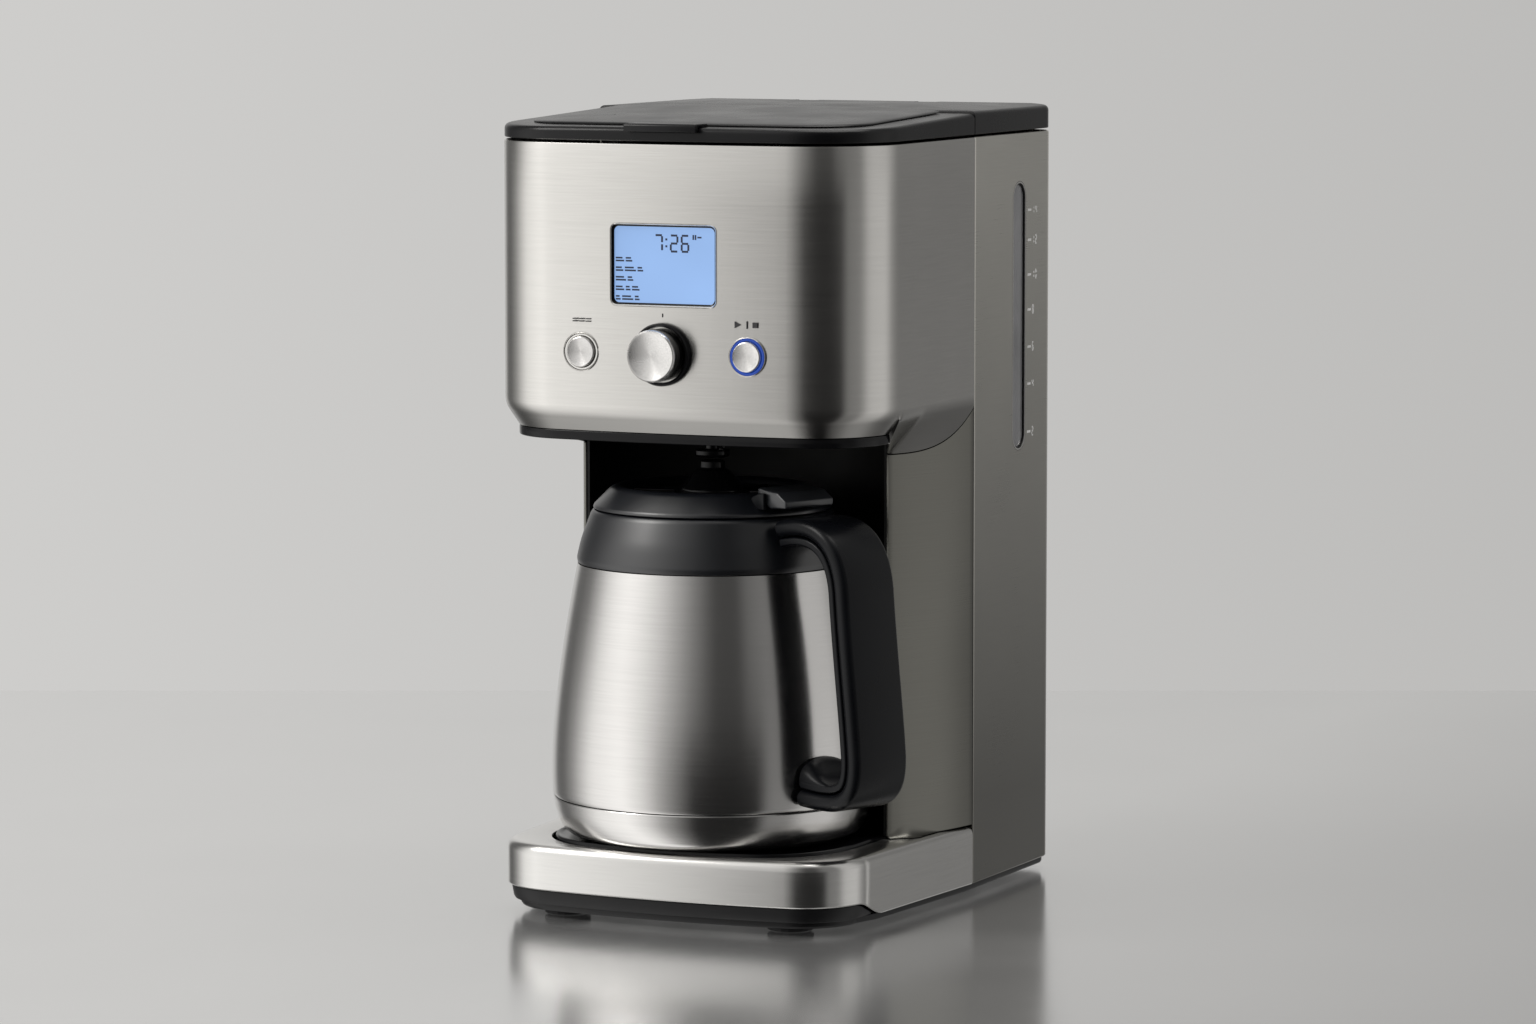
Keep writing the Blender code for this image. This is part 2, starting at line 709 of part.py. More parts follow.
def hinge_ears(foot_z, axis_y, axis_z):
    """Two upright ears with round tops, as (y, z) outlines pushed along X."""
    ears = []
    for sign in (-1, 1):
        outline = [(axis_y + HINGE_RADIUS, foot_z), (axis_y + HINGE_RADIUS, axis_z)]
        outline += arc(axis_y, axis_z, HINGE_RADIUS, 0, 180, 8)[1:]
        outline.append((axis_y - HINGE_RADIUS, foot_z))
        middle = sign * HINGE_X
        ears.append(extrude(outline, middle - EAR_WIDTH / 2, middle + EAR_WIDTH / 2, "X"))
    return ears


def hinges(machine):
    """A bracket and a pin for each lid."""
    plate = block((-0.042, LID_AXIS_Y - HINGE_RADIUS, 0.3835), (0.042, BULKHEAD_Y + 0.0015, 0.3856))
    bracket = add_piece("lid_hinge_bracket", plate, BLACK, machine)
    ears = merged(*hinge_ears(0.3845, LID_AXIS_Y, LID_AXIS_Z))
    boolean(bracket, add_helper("lid_hinge_ears", ears, machine), "UNION")
    bore = cylinder_x(BORE_RADIUS, -0.06, 0.06, LID_AXIS_Y, LID_AXIS_Z)
    boolean(bracket, add_helper("lid_hinge_bore", bore, machine))

    rail = block((-0.042, TANK_AXIS_Y - HINGE_RADIUS, 0.3802), (0.042, TANK_AXIS_Y + HINGE_RADIUS, 0.3822))
    bracket = add_piece("tank_hinge_bracket", rail, BLACK, machine)
    ears = merged(*hinge_ears(0.3810, TANK_AXIS_Y, TANK_AXIS_Z))
    boolean(bracket, add_helper("tank_hinge_ears", ears, machine), "UNION")
    bore = cylinder_x(BORE_RADIUS, -0.06, 0.06, TANK_AXIS_Y, TANK_AXIS_Z)
    boolean(bracket, add_helper("tank_hinge_bore", bore, machine))

    for name, y, z in (
        ("brew_lid_pin", LID_AXIS_Y, LID_AXIS_Z),
        ("tank_lid_pin", TANK_AXIS_Y, TANK_AXIS_Z),
    ):
        pin = cylinder_x(PIN_RADIUS, -HINGE_X - 0.0125, HINGE_X + 0.0125, y, z, 12)
        add_piece(name, pin, POLISHED, machine)


# ---------------------------------------------------------------- controls


def display(machine):
    lens = rounded_rectangle(-0.0305, 0.0305, SCREEN_LOW - 0.0015, SCREEN_HIGH + 0.0015, 0.004)
    add_piece("lcd_lens", extrude(lens, 0.0026, 0.0036, "Y"), WINDOW_GREY, machine)
    module = block((-0.032, 0.0040, SCREEN_LOW - 0.0025), (0.032, 0.0082, SCREEN_HIGH + 0.0025))
    add_piece("lcd_module", module, SCREEN_BLUE, machine)
    board = block((-0.060, 0.0100, 0.266), (0.060, 0.0116, 0.352))
    add_piece("control_board", board, BOARD_GREEN, machine)


def button(name, x, machine):
    face = BUTTON_RADIUS
    profile = [(0, -0.0060), (0.0030, -0.0060), (0.0030, -0.0040), (face, -0.0032)]
    profile += [(face, 0.0014), (face - 0.0006, 0.0020), (0, 0.0017)]
    shape = facing_front(lathe(profile, 24, False), x, BUTTON_Y, CONTROL_Z)
    add_piece(name, shape, POLISHED, machine, (x, BUTTON_Y, CONTROL_Z))


def ring(name, x, finish, machine):
    inner = BUTTON_RADIUS + 0.0004
    profile = [(inner, -0.0030), (RING_RADIUS, -0.0030), (RING_RADIUS, 0.0006), (inner, 0.0006)]
    add_piece(name, facing_front(lathe(profile, 24), x, BUTTON_Y, CONTROL_Z), finish, machine)


def dial(machine):
    bore = 0.0034
    reach = DIAL_REACH
    body = DIAL_RADIUS
    cap = [(0, 0.0095), (bore, 0.0095), (bore, 0.0016), (body, 0.0016), (body, reach - 0.0008)]
    cap += [(body - 0.0008, reach), (0, reach - 0.0004)]
    place = (0, 0, CONTROL_Z)
    add_piece("dial_cap", facing_front(lathe(cap, 28, False), *place), POLISHED, machine, place)
    shaft = [(0, -0.0080), (0.0030, -0.0080), (0.0030, 0.0092), (0, 0.0092)]
    shape = facing_front(lathe(shaft, 20, False), *place)
    add_piece("dial_shaft", shape, POLISHED, machine, place)
    bezel = [(0.0137, -0.0001), (BEZEL_RADIUS, -0.0001), (BEZEL_RADIUS, 0.0030), (0.0137, 0.0030)]
    bezel = [(radius, height + 0.0004) for radius, height in bezel]
    add_piece("dial_bezel", facing_front(lathe(bezel, 28), *place), BLACK, machine)
    encoder = [(0.0034, -0.0090), (0.0070, -0.0090), (0.0070, -0.0030), (0.0034, -0.0030)]
    add_piece("dial_encoder", facing_front(lathe(encoder, 20), *place), BLACK, machine)


# ---------------------------------------------------------------- brewing parts


def on_axis(bm):
    return moved(bm, CARAFE_X, CARAFE_Y)


def brew_chamber(machine):
    profile = [(0.0100, OUTLET_Z), (0.0130, OUTLET_Z), (0.0130, FLOOR_LOW), (0.0375, FLOOR_LOW)]
    profile += [(0.0530, CHAMBER_TOP - 0.003), (0.0570, CHAMBER_TOP - 0.003), (0.0570, CHAMBER_TOP)]
    profile += [(0.0515, CHAMBER_TOP), (0.0360, FLOOR_TOP), (0.0045, FLOOR_TOP), (0.0045, FLOOR_LOW)]
    profile.append((0.0100, FLOOR_LOW))
    add_piece("brew_chamber", on_axis(lathe(profile, 28)), BLACK, machine)


def brew_basket(machine):
    profile = [(0.0080, 0.2680), (0.0335, 0.2680), (0.0485, CHAMBER_TOP), (0.0505, CHAMBER_TOP + 0.0004)]
    profile += [(0.0505, CHAMBER_TOP + 0.0020), (0.0470, CHAMBER_TOP + 0.0020), (0.0321, 0.2698)]
    profile.append((0.0080, 0.2698))
    add_piece("brew_basket", on_axis(lathe(profile, 28)), BLACK, machine)


def gold_filter(machine):
    profile = [(0, 0.2715), (0.0305, 0.2715), (0.0450, CHAMBER_TOP - 0.001)]
    profile += [(0.0440, CHAMBER_TOP - 0.001), (0.0297, 0.2725), (0, 0.2725)]
    add_piece("gold_filter", on_axis(lathe(profile, 28, False)), GOLD, machine)


def shower(machine):
    profile = [(0, 0.3785), (0.0300, 0.3785), (0.0310, 0.3800), (0.0300, 0.3830), (0, 0.3830)]
    add_piece("shower_head", on_axis(lathe(profile, 28, False)), BLACK, machine)
    start = Vector((CARAFE_X, CARAFE_Y + 0.0330, 0.3806))
    points = [start + Vector((0, 0.0026 * k, 0)) for k in range(18)]
    add_tube("shower_arm", points, 0.0024, SILICONE, machine)


def riser(machine):
    """The hot water's way up, in the space between the column's left side and the bay."""
    x, y = -0.0905, 0.1440
    points = [(x, y, 0.046 + 0.018 * k) for k in range(19)]
    add_tube("riser_tube", points, 0.0040, SILICONE, machine)


def heater(machine):
    """A U-shaped flow heater in the base."""
    points = [(-0.045, 0.150, 0.0210), (-0.045, 0.120, 0.0210), (-0.045, 0.090, 0.0210)]
    turn = arc(0.0, 0.075, 0.045, 180, 360, 12)
    points += [(x, y, 0.0210) for x, y in turn]
    points += [(0.045, 0.090, 0.0210), (0.045, 0.120, 0.0210), (0.045, 0.150, 0.0210)]
    add_tube("flow_heater", points, 0.0060, STEEL, machine)


def pump(machine):
    body = rounded_rectangle(0.010, 0.062, 0.178, 0.214, 0.008, 3)
    add_piece("water_pump", extrude(body, 0.0070, 0.0440), BLACK, machine)


def drip_valve(machine):
    foot = VALVE_FOOT_Z
    profile = [(0, foot), (0.0080, foot), (0.0088, foot + 0.0012), (0.0088, foot + 0.0035)]
    profile += [(0.0034, foot + 0.0042), (0.0034, FLOOR_TOP + GAP), (0.0062, FLOOR_TOP + GAP)]
    profile += [(0.0062, FLOOR_TOP + 0.0020), (0, FLOOR_TOP + 0.0020)]
    shape = on_axis(lathe(profile, 24, False))
    add_piece("drip_valve", shape, BLACK, machine, (CARAFE_X, CARAFE_Y, foot))


def drip_spring(machine):
    """A coil between the valve's foot and the chamber's floor."""
    turns, per_turn, radius, wire = 4, 9, 0.0062, 0.0006
    low, high = VALVE_FOOT_Z + 0.0052, FLOOR_LOW - 0.0010
    points = []
    for k in range(turns * per_turn + 1):
        angle = 2 * math.pi * k / per_turn
        x = CARAFE_X + radius * math.cos(angle)
        y = CARAFE_Y + radius * math.sin(angle)
        points.append((x, y, low + (high - low) * k / (turns * per_turn)))
    add_tube("drip_spring", points, wire, POLISHED, machine)


# ---------------------------------------------------------------- carafe


def bezier(points, steps):
    """Points on a Bezier curve of any order, both ends included."""
    curve = []
    for k in range(steps + 1):
        t = k / steps
        level = [Vector(point) for point in points]
        while len(level) > 1:
            level = [a.lerp(b, t) for a, b in zip(level, level[1:])]
        curve.append(level[0])
    return curve


def body_profile(offset=0.0, steps=6):
    """Outer wall of the carafe from the lower seam up to the collar, as (radius, height)."""
    controls = [(0.0800, LOWER_SEAM), (0.0822, 0.0870), (0.0765, 0.1280), (0.0675, COLLAR_SEAM)]
    return [(point[0] - offset, point[1]) for point in bezier(controls, steps)]


def carafe_body(carafe, axis):
    outer = body_profile()
    profile = [(radius, height) for radius, height in outer]
    profile += [(radius, height) for radius, height in reversed(body_profile(0.0010))]
    add_piece("carafe_shell", on_axis(lathe(profile, CARAFE_STEPS)), STEEL, carafe, axis)

    bottom = CARAFE_BOTTOM
    band = [(0, bottom), (0.0680, bottom), (0.0745, bottom + 0.0022), (0.0782, bottom + 0.0100)]
    band += [(0.0799, LOWER_SEAM - GAP), (0.0788, LOWER_SEAM - GAP), (0.0770, bottom + 0.0104)]
    band += [(0.0736, bottom + 0.0034), (0.0675, bottom + 0.0012), (0, bottom + 0.0012)]
    add_piece("carafe_base", on_axis(lathe(band, CARAFE_STEPS, False)), STEEL, carafe, axis)

    flask = [(0, 0.0440), (0.0680, 0.0440), (0.0735, 0.0500), (0.0745, 0.0800), (0.0700, 0.1280)]
    flask += [(0.0600, 0.1690), (0.0470, 0.1850), (0.0470, 0.2000), (0.0460, 0.2000), (0.0460, 0.1845)]
    flask += [(0.0592, 0.1680), (0.0690, 0.1275), (0.0735, 0.0800), (0.0726, 0.0505), (0.0676, 0.0450)]
    flask.append((0, 0.0450))
    add_piece("carafe_flask", on_axis(lathe(flask, 24, False)), POLISHED, carafe, axis)


def carafe_collar(carafe, axis):
    profile = [(0.0672, COLLAR_SEAM + GAP), (0.0678, COLLAR_SEAM + 0.0030), (0.0655, 0.1870)]
    profile += [(COLLAR_RADIUS + 0.0006, COLLAR_TOP - 0.0024), (COLLAR_RADIUS - 0.0006, COLLAR_TOP - GAP)]
    profile += [(0.0476, COLLAR_TOP - GAP), (0.0476, 0.1960), (0.0575, 0.1900), (0.0645, COLLAR_SEAM + GAP)]
    add_piece("carafe_collar", on_axis(lathe(profile, CARAFE_STEPS)), BLACK, carafe, axis)


def handle_spot(radius, side, height):
    """A point given by its distance out along the handle, its offset sideways and its height."""
    radial = Vector((math.cos(HANDLE_ANGLE), math.sin(HANDLE_ANGLE), 0))
    across = Vector((-math.sin(HANDLE_ANGLE), math.cos(HANDLE_ANGLE), 0))
    return Vector((CARAFE_X, CARAFE_Y, height)) + radial * radius + across * side


def strap(path, width, thickness, corner):
    """A flat bar along a path of (radius, height) in the handle's plane."""
    half, deep = width / 2, thickness / 2
    section = [(half - corner, -deep), (half, -deep + corner), (half, deep - corner), (half - corner, deep)]
    section += [(-w, d) for w, d in reversed(section)]
    loops = []
    for k, point in enumerate(path):
        ahead = path[min(k + 1, len(path) - 1)] - path[max(k - 1, 0)]
        ahead.normalize()
        outward = Vector((-ahead.y, ahead.x))
        loop = []
        for w, d in section:
            spot = point + outward * d
            loop.append(handle_spot(spot.x, w, spot.y))
        loops.append(loop)
    return loft(loops)


def handle_path(offset):
    """The handle's line from the collar, over and down, to the lower band. offset shifts it outwards."""
    top = bezier([(0.0665, 0.1945), (0.0920, 0.2010), (0.1052, 0.1900), (0.1077, 0.1690)], 7)
    side = bezier([(0.1077, 0.1690), (0.1102, 0.1400), (0.1152, 0.1080), (0.1167, 0.0880)], 4)
    foot = bezier([(0.1167, 0.0880), (0.1174, 0.0675), (0.1070, 0.0665), (0.0818, 0.0685)], 7)
    line = top + side[1:] + foot[1:]
    shifted = []
    for k, point in enumerate(line):
        ahead = line[min(k + 1, len(line) - 1)] - line[max(k - 1, 0)]
        ahead.normalize()
        shifted.append(point + Vector((-ahead.y, ahead.x)) * offset)
    return shifted


def carafe_handle(carafe, axis):
    outer = strap(handle_path(0.0028), HANDLE_WIDTH, 0.0090, 0.0025)
    add_piece("carafe_handle", outer, BLACK, carafe, axis)
    inner = strap(handle_path(-0.0042), HANDLE_WIDTH - 0.003, 0.0040, 0.0012)
    add_piece("carafe_grip", inner, BLACK, carafe, axis)


def lever_cylinder(radius, reach):
    """A rod on the lever's axis, reaching the same way to both sides."""
    circle = arc(LEVER_RADIUS, LEVER_Z, radius, 0, 360, 10)[:-1]
    return loft([[handle_spot(r, side, h) for r, h in circle] for side in (-reach, reach)])


def lever_lugs():
    """Two lugs on the lid's shoulder that hold the lever's pin."""
    outline = [(0.0490, 0.2060), (0.0582, 0.2060), (0.0582, 0.2142), (0.0545, 0.2142), (0.0490, 0.2120)]
    sides = ((-0.0188, -0.0166), (0.0166, 0.0188))
    return [loft([[handle_spot(r, side, h) for r, h in outline] for side in pair]) for pair in sides]


def carafe_lid(carafe, axis):
    low = COLLAR_TOP
    profile = [(0, low - 0.012), (0.0446, low - 0.012), (0.0446, low), (COLLAR_RADIUS - 0.0004, low)]
    profile += [(COLLAR_RADIUS - 0.0008, low + 0.0016), (0.0500, low + 0.0108), (0.0470, low + 0.0116)]
    profile += [(0.0440, low + 0.0100), (0.0425, low + 0.0070), (0.0165, low + 0.0070), (0, low + 0.0070)]
    lid = add_piece("carafe_lid", on_axis(lathe(profile, CARAFE_STEPS, False)), BLACK, carafe, axis)
    boolean(lid, add_helper("lever_lugs", merged(*lever_lugs()), carafe), "UNION")
    boolean(lid, add_helper("lid_bore", lever_cylinder(0.0012, 0.024), carafe))
    hub = [(0, low + 0.0073), (0.0160, low + 0.0073), (0.0160, low + 0.0100), (0.0085, low + 0.0190)]
    hub += [(0.0062, low + 0.0195), (0.0062, low + 0.0236), (0.0040, low + 0.0236)]
    hub += [(0.0034, low + 0.0200), (0, low + 0.0200)]
    add_piece("lid_hub", on_axis(lathe(hub, 24, False)), BLACK, carafe, axis)
    seal = [(0.0451, 0.1915), (0.0454, 0.1915), (0.0454, 0.1990), (0.0451, 0.1990)]
    add_piece("lid_seal", on_axis(lathe(seal, 28)), SILICONE, carafe, axis)


def lever(carafe):
    """Thumb lever over the handle's root, on a cross pin in the lid."""
    outline = [(0.0505, 0.2142), (0.0590, 0.2066), (0.0715, 0.2074), (0.0715, 0.2108), (0.0650, 0.2154)]
    outline += [(0.0505, 0.2168)]
    loops = [[handle_spot(r, side, h) for r, h in outline] for side in (-0.0162, 0.0162)]
    plate = add_piece("pour_lever", loft(loops), BLACK, carafe, handle_spot(LEVER_RADIUS, 0, LEVER_Z))
    boolean(plate, add_helper("lever_bore", lever_cylinder(0.0012, 0.024), carafe))
    add_piece("lever_pin", lever_cylinder(0.0009, 0.0186), POLISHED, carafe)


def main():
    clear_scene()
    machine = add_empty("machine", (-CENTRE_X, -CENTRE_Y, 0))
    head_panel(machine)
    head_trim(machine)
    head_floor(machine)
    columns(machine)
    bay_liner(machine)
    bulkhead(machine)
    base_cover(machine)
    front_plinth(machine)
    base_pan(machine)
    carafe_mat(machine)
    feet(machine)
    tank_wrap(machine)
    water_tank(machine)
    level_window(machine)
    cord_gland(machine)
    lid_hinge = (0, LID_AXIS_Y, LID_AXIS_Z)
    brew_lid(machine, lid_hinge)
    brew_lid_panel(machine, lid_hinge)
    brew_lid_tab(machine, lid_hinge)
    tank_lid(machine, (0, TANK_AXIS_Y, TANK_AXIS_Z))
    hinges(machine)
    display(machine)
    button("select_button", -BUTTON_X, machine)
    button("start_button", BUTTON_X, machine)
    ring("select_ring", -BUTTON_X, POLISHED, machine)
    ring("start_ring", BUTTON_X, RING_BLUE, machine)
    dial(machine)
    brew_chamber(machine)
    brew_basket(machine)
    gold_filter(machine)
    shower(machine)
    riser(machine)
    heater(machine)
    pump(machine)
    drip_valve(machine)
    drip_spring(machine)
    axis = (CARAFE_X, CARAFE_Y, CARAFE_BOTTOM)
    carafe_body(machine, axis)
    carafe_collar(machine, axis)
    carafe_handle(machine, axis)
    carafe_lid(machine, axis)
    lever(machine)


main()
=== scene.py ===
"""Looks of the drip coffee maker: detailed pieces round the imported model, materials, light and camera.

Metres, +Z up. Shapes are written in the machine's own coordinates: X from its centre plane, Y back from
the front of the head, Z up from the table. ORIGIN, read from the model, carries them into its frame.
"""

import math

import bmesh
import bpy
from mathutils import Matrix, Vector


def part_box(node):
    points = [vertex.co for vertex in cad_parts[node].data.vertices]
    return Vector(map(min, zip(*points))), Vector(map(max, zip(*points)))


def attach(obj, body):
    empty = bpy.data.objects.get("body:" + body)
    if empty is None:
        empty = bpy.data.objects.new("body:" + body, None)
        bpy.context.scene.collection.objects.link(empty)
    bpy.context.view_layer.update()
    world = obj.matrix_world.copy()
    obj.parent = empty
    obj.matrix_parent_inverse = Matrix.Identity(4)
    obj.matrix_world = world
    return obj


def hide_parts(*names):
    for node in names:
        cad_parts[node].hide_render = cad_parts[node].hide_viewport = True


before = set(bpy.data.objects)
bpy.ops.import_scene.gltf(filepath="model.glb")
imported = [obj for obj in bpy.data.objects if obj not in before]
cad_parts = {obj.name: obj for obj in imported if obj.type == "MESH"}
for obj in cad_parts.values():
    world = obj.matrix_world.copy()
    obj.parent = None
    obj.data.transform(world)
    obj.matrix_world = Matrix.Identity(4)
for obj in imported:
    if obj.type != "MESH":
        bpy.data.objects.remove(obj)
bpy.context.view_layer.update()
WRAP_LOW, WRAP_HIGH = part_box("tank_wrap")
HEAD_LOW, HEAD_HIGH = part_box("head_panel")
ORIGIN = Vector(((WRAP_LOW.x + WRAP_HIGH.x) / 2, HEAD_LOW.y, 0.0))

HALF_WIDTH = (WRAP_HIGH.x - WRAP_LOW.x) / 2
REAR_Y = WRAP_HIGH.y - ORIGIN.y
SEAM_Y = HEAD_HIGH.y - ORIGIN.y
REAR_START_Y = WRAP_LOW.y - ORIGIN.y
STEEL_TOP = HEAD_HIGH.z
REAR_RADIUS = 0.014
SHEET = 0.0012
CREASE_Z = 0.254
CHAMFER_Z = 0.2435
CHAMFER_INSET = 0.007
TRIM_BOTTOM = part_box("head_trim")[0].z
TRIM_END_Y = 0.052
CORNER_RADIUS = 0.045
FRONT_BOW = 0.003
COLUMN_FRONT = Vector((0.0841, 0.0840))
COLUMN_BULGE = Vector((0.0995, 0.1100))
COLUMN_STEPS = 20
SWOOSH_LOW = 0.2303
SWOOSH_RISE = 0.0192
BASE_HALF = 0.0965
BASE_FRONT_Y = -0.0085
BASE_RADIUS = 0.034
BASE_BOW = 0.004
BASE_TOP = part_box("base_cover")[1].z
MAT_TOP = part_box("carafe_mat")[1].z
PAN_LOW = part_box("base_pan")[0].z
LID_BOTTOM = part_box("brew_lid")[0].z
LID_RIM_FRONT = 0.3925
LID_RIM_REAR = 0.3972
LID_DOME = 0.0030
LID_AXIS = (0.1411, 0.3970)
TANK_AXIS = (0.2508, 0.3955)
HINGE_X = 0.034
CONTROL_Z = 0.283
BUTTON_X = 0.0448
BUTTON_Y = 0.0016
SCREEN_HALF = 0.0290
SCREEN_LOW = 0.3060
SCREEN_HIGH = 0.3470
WINDOW_Y = 0.204
WINDOW_HALF = 0.009
WINDOW_LOW = 0.223
WINDOW_HIGH = 0.361
CARAFE = Vector((-0.003, 0.064))
HANDLE_ANGLE = math.radians(-23)
FINE = 144


# ---------------------------------------------------------------- meshes


def loft(loops, capped=True):
    """A skin through equal loops of points, capped at both ends."""
    bm = bmesh.new()
    rings = [[bm.verts.new(point) for point in loop] for loop in loops]
    for lower, upper in zip(rings, rings[1:]):
        for i, start in enumerate(lower):
            j = (i + 1) % len(lower)
            bm.faces.new((start, lower[j], upper[j], upper[i]))
    if capped:
        bm.faces.new(rings[0][::-1])
        bm.faces.new(rings[-1])
    return bm


def closed_loft(loops):
    """A frame: a skin whose last loop lies on its first."""
    bm = loft(loops, capped=False)
    bmesh.ops.remove_doubles(bm, verts=bm.verts, dist=0.000001)
    return bm


def sheet(outer_rows, inner_rows):
    """A curved plate between two equal grids of points."""
    bm = bmesh.new()
    outer = [[bm.verts.new(point) for point in row] for row in outer_rows]
    inner = [[bm.verts.new(point) for point in row] for row in inner_rows]
    rows, columns = len(outer), len(outer[0])
    for grid in (outer, inner):
        for r in range(rows - 1):
            for c in range(columns - 1):
                bm.faces.new((grid[r][c], grid[r][c + 1], grid[r + 1][c + 1], grid[r + 1][c]))
    for r in (0, rows - 1):
        for c in range(columns - 1):
            bm.faces.new((outer[r][c], outer[r][c + 1], inner[r][c + 1], inner[r][c]))
    for c in (0, columns - 1):
        for r in range(rows - 1):
            bm.faces.new((outer[r][c], outer[r + 1][c], inner[r + 1][c], inner[r][c]))
    return bm


def extrude(outline, low, high, axis="Z"):
    """An outline pushed along an axis. It is given in (y, z), (x, z) or (x, y) for X, Y or Z."""
    place = {
        "X": lambda point, depth: (depth, point[0], point[1]),
        "Y": lambda point, depth: (point[0], depth, point[1]),
        "Z": lambda point, depth: (point[0], point[1], depth),
    }[axis]
    return loft([[place(point, depth) for point in outline] for depth in (low, high)])


def block(low, high):
    (x0, y0, z0), (x1, y1, z1) = low, high
    return extrude([(x0, y0), (x1, y0), (x1, y1), (x0, y1)], z0, z1)


def lathe(profile, steps=FINE, closed=True):
    """A profile of (radius, height) turned round Z. A closed one joins its last point to its first."""
    bm = bmesh.new()
    columns = []
    for radius, height in profile:
        if radius == 0:
            columns.append([bm.verts.new((0, 0, height))])
            continue
        turns = [2 * math.pi * k / steps for k in range(steps)]
        columns.append([bm.verts.new((radius * math.cos(t), radius * math.sin(t), height)) for t in turns])
    pairs = list(zip(columns, columns[1:]))
    if closed:
        pairs.append((columns[-1], columns[0]))
    for first, second in pairs:
        for k in range(steps):
            n = (k + 1) % steps
            corners = [first[k % len(first)], first[n % len(first)]]
            corners += [second[n % len(second)], second[k % len(second)]]
            corners = list(dict.fromkeys(corners))
            if len(corners) > 2:
                bm.faces.new(corners)
    return bm


def moved(bm, x=0.0, y=0.0, z=0.0):
    bmesh.ops.translate(bm, verts=bm.verts, vec=(x, y, z))
    return bm


def facing_front(bm, x, y, z):
    """Turns a lathed shape so that its height points out of the front, and places it."""
    bmesh.ops.rotate(bm, verts=bm.verts, cent=(0, 0, 0), matrix=Matrix.Rotation(math.pi / 2, 3, "X"))
    return moved(bm, x, y, z)


def merged(shapes):
    """One mesh from several closed shapes."""
    total = bmesh.new()
    for shape in shapes:
        mesh = bpy.data.meshes.new("merged")
        shape.to_mesh(mesh)
        shape.free()
        total.from_mesh(mesh)
        bpy.data.meshes.remove(mesh)
    return total


def make_object(name, bm, material):
    bmesh.ops.translate(bm, verts=bm.verts, vec=ORIGIN)
    bmesh.ops.recalc_face_normals(bm, faces=bm.faces)
    if bm.calc_volume(signed=True) < 0:
        bmesh.ops.reverse_faces(bm, faces=bm.faces)
    mesh = bpy.data.meshes.new(name)
    bm.to_mesh(mesh)
    bm.free()
    mesh.materials.append(material)
    obj = bpy.data.objects.new(name, mesh)
    bpy.context.scene.collection.objects.link(obj)
    return obj


def piece(name, bm, finish, body, nodes=(), bevel=0.0, cutter=None, sharp=32):
    """A visible piece that rides on a body and may stand for some of the model's nodes."""
    material = FINISHES[finish]
    obj = make_object(name, bm, material)
    if cutter:
        tool = make_object(name + "_cutter", cutter, material)
        modifier = obj.modifiers.new("openings", "BOOLEAN")
        modifier.object = tool
        modifier.solver = "EXACT"
        modifier.use_self = True
        apply_modifiers(obj)
        bpy.data.objects.remove(tool)
    if bevel:
        modifier = obj.modifiers.new("edges", "BEVEL")
        modifier.width = bevel
        modifier.segments = 3
        modifier.limit_method = "ANGLE"
        modifier.angle_limit = math.radians(40)
        apply_modifiers(obj)
    obj.data.shade_smooth()
    obj.data.set_sharp_from_angle(angle=math.radians(sharp))
    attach(obj, body)
    if nodes:
        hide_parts(*nodes)
    return obj


def apply_modifiers(obj):
    """Bakes the modifiers into the mesh."""
    graph = bpy.context.evaluated_depsgraph_get()
    mesh = bpy.data.meshes.new_from_object(obj.evaluated_get(graph))
    obj.modifiers.clear()
    obj.data = mesh


# ---------------------------------------------------------------- outlines


def arc(cx, cy, radius, start, end, steps):
    """Points on an arc, angles in degrees, both ends included."""
    angles = [math.radians(start + (end - start) * k / steps) for k in range(steps + 1)]
    return [(cx + radius * math.cos(a), cy + radius * math.sin(a)) for a in angles]


def rounded_rectangle(x0, x1, y0, y1, radius, steps=8):
    points = arc(x1 - radius, y0 + radius, radius, -90, 0, steps)
    points += arc(x1 - radius, y1 - radius, radius, 0, 90, steps)
    points += arc(x0 + radius, y1 - radius, radius, 90, 180, steps)
    points += arc(x0 + radius, y0 + radius, radius, 180, 270, steps)
    return points


def front_outline(half_width, front_y, radius, bow, side, corner_steps=20, front_steps=24):
    """From the rear left, round a bowed front with round corners, to the rear right."""
    edge = half_width - radius
    for _ in range(6):
        lean = math.atan(2 * bow / edge)
        edge = half_width - radius * (1 - math.sin(lean))
    centre_x = edge - radius * math.sin(lean)
    centre_y = front_y + bow + radius * math.cos(lean)
    half = front_steps // 2
    right = [(edge * k / half, front_y + bow * (k / half) ** 2) for k in range(1, half)]
    right += arc(centre_x, centre_y, radius, -90 + math.degrees(lean), 0, corner_steps)
    right += side
    return [(-x, y) for x, y in reversed(right)] + [(0.0, front_y)] + right


def at_height(outline, height):
    """An outline lifted to a height, or to height(x, y)."""
    if callable(height):
        return [(x, y, height(x, y)) for x, y in outline]
    return [(x, y, height) for x, y in outline]


def column_points(inset=0.0):
    """The column's side from its front edge back to the seam, as (x, y) on the right."""
    start, bulge, end = COLUMN_FRONT, COLUMN_BULGE, Vector((HALF_WIDTH - 0.0004, SEAM_Y))
    points = []
    for k in range(COLUMN_STEPS + 1):
        t = k / COLUMN_STEPS
        point = start * (1 - t) ** 2 + bulge * 2 * t * (1 - t) + end * t * t
        points.append((point.x - inset, point.y))
    return points


def swoosh_height(step):
    """Height of the head's lower edge along the column."""
    return SWOOSH_LOW + SWOOSH_RISE * (step / COLUMN_STEPS) ** 3


def quarter_round(start=0):
    """Steps of a quarter circle, as (1 - cosine, sine)."""
    angles = [math.radians(angle) for angle in range(start, 91, 15)]
    return [(1 - math.cos(a), math.sin(a)) for a in angles]


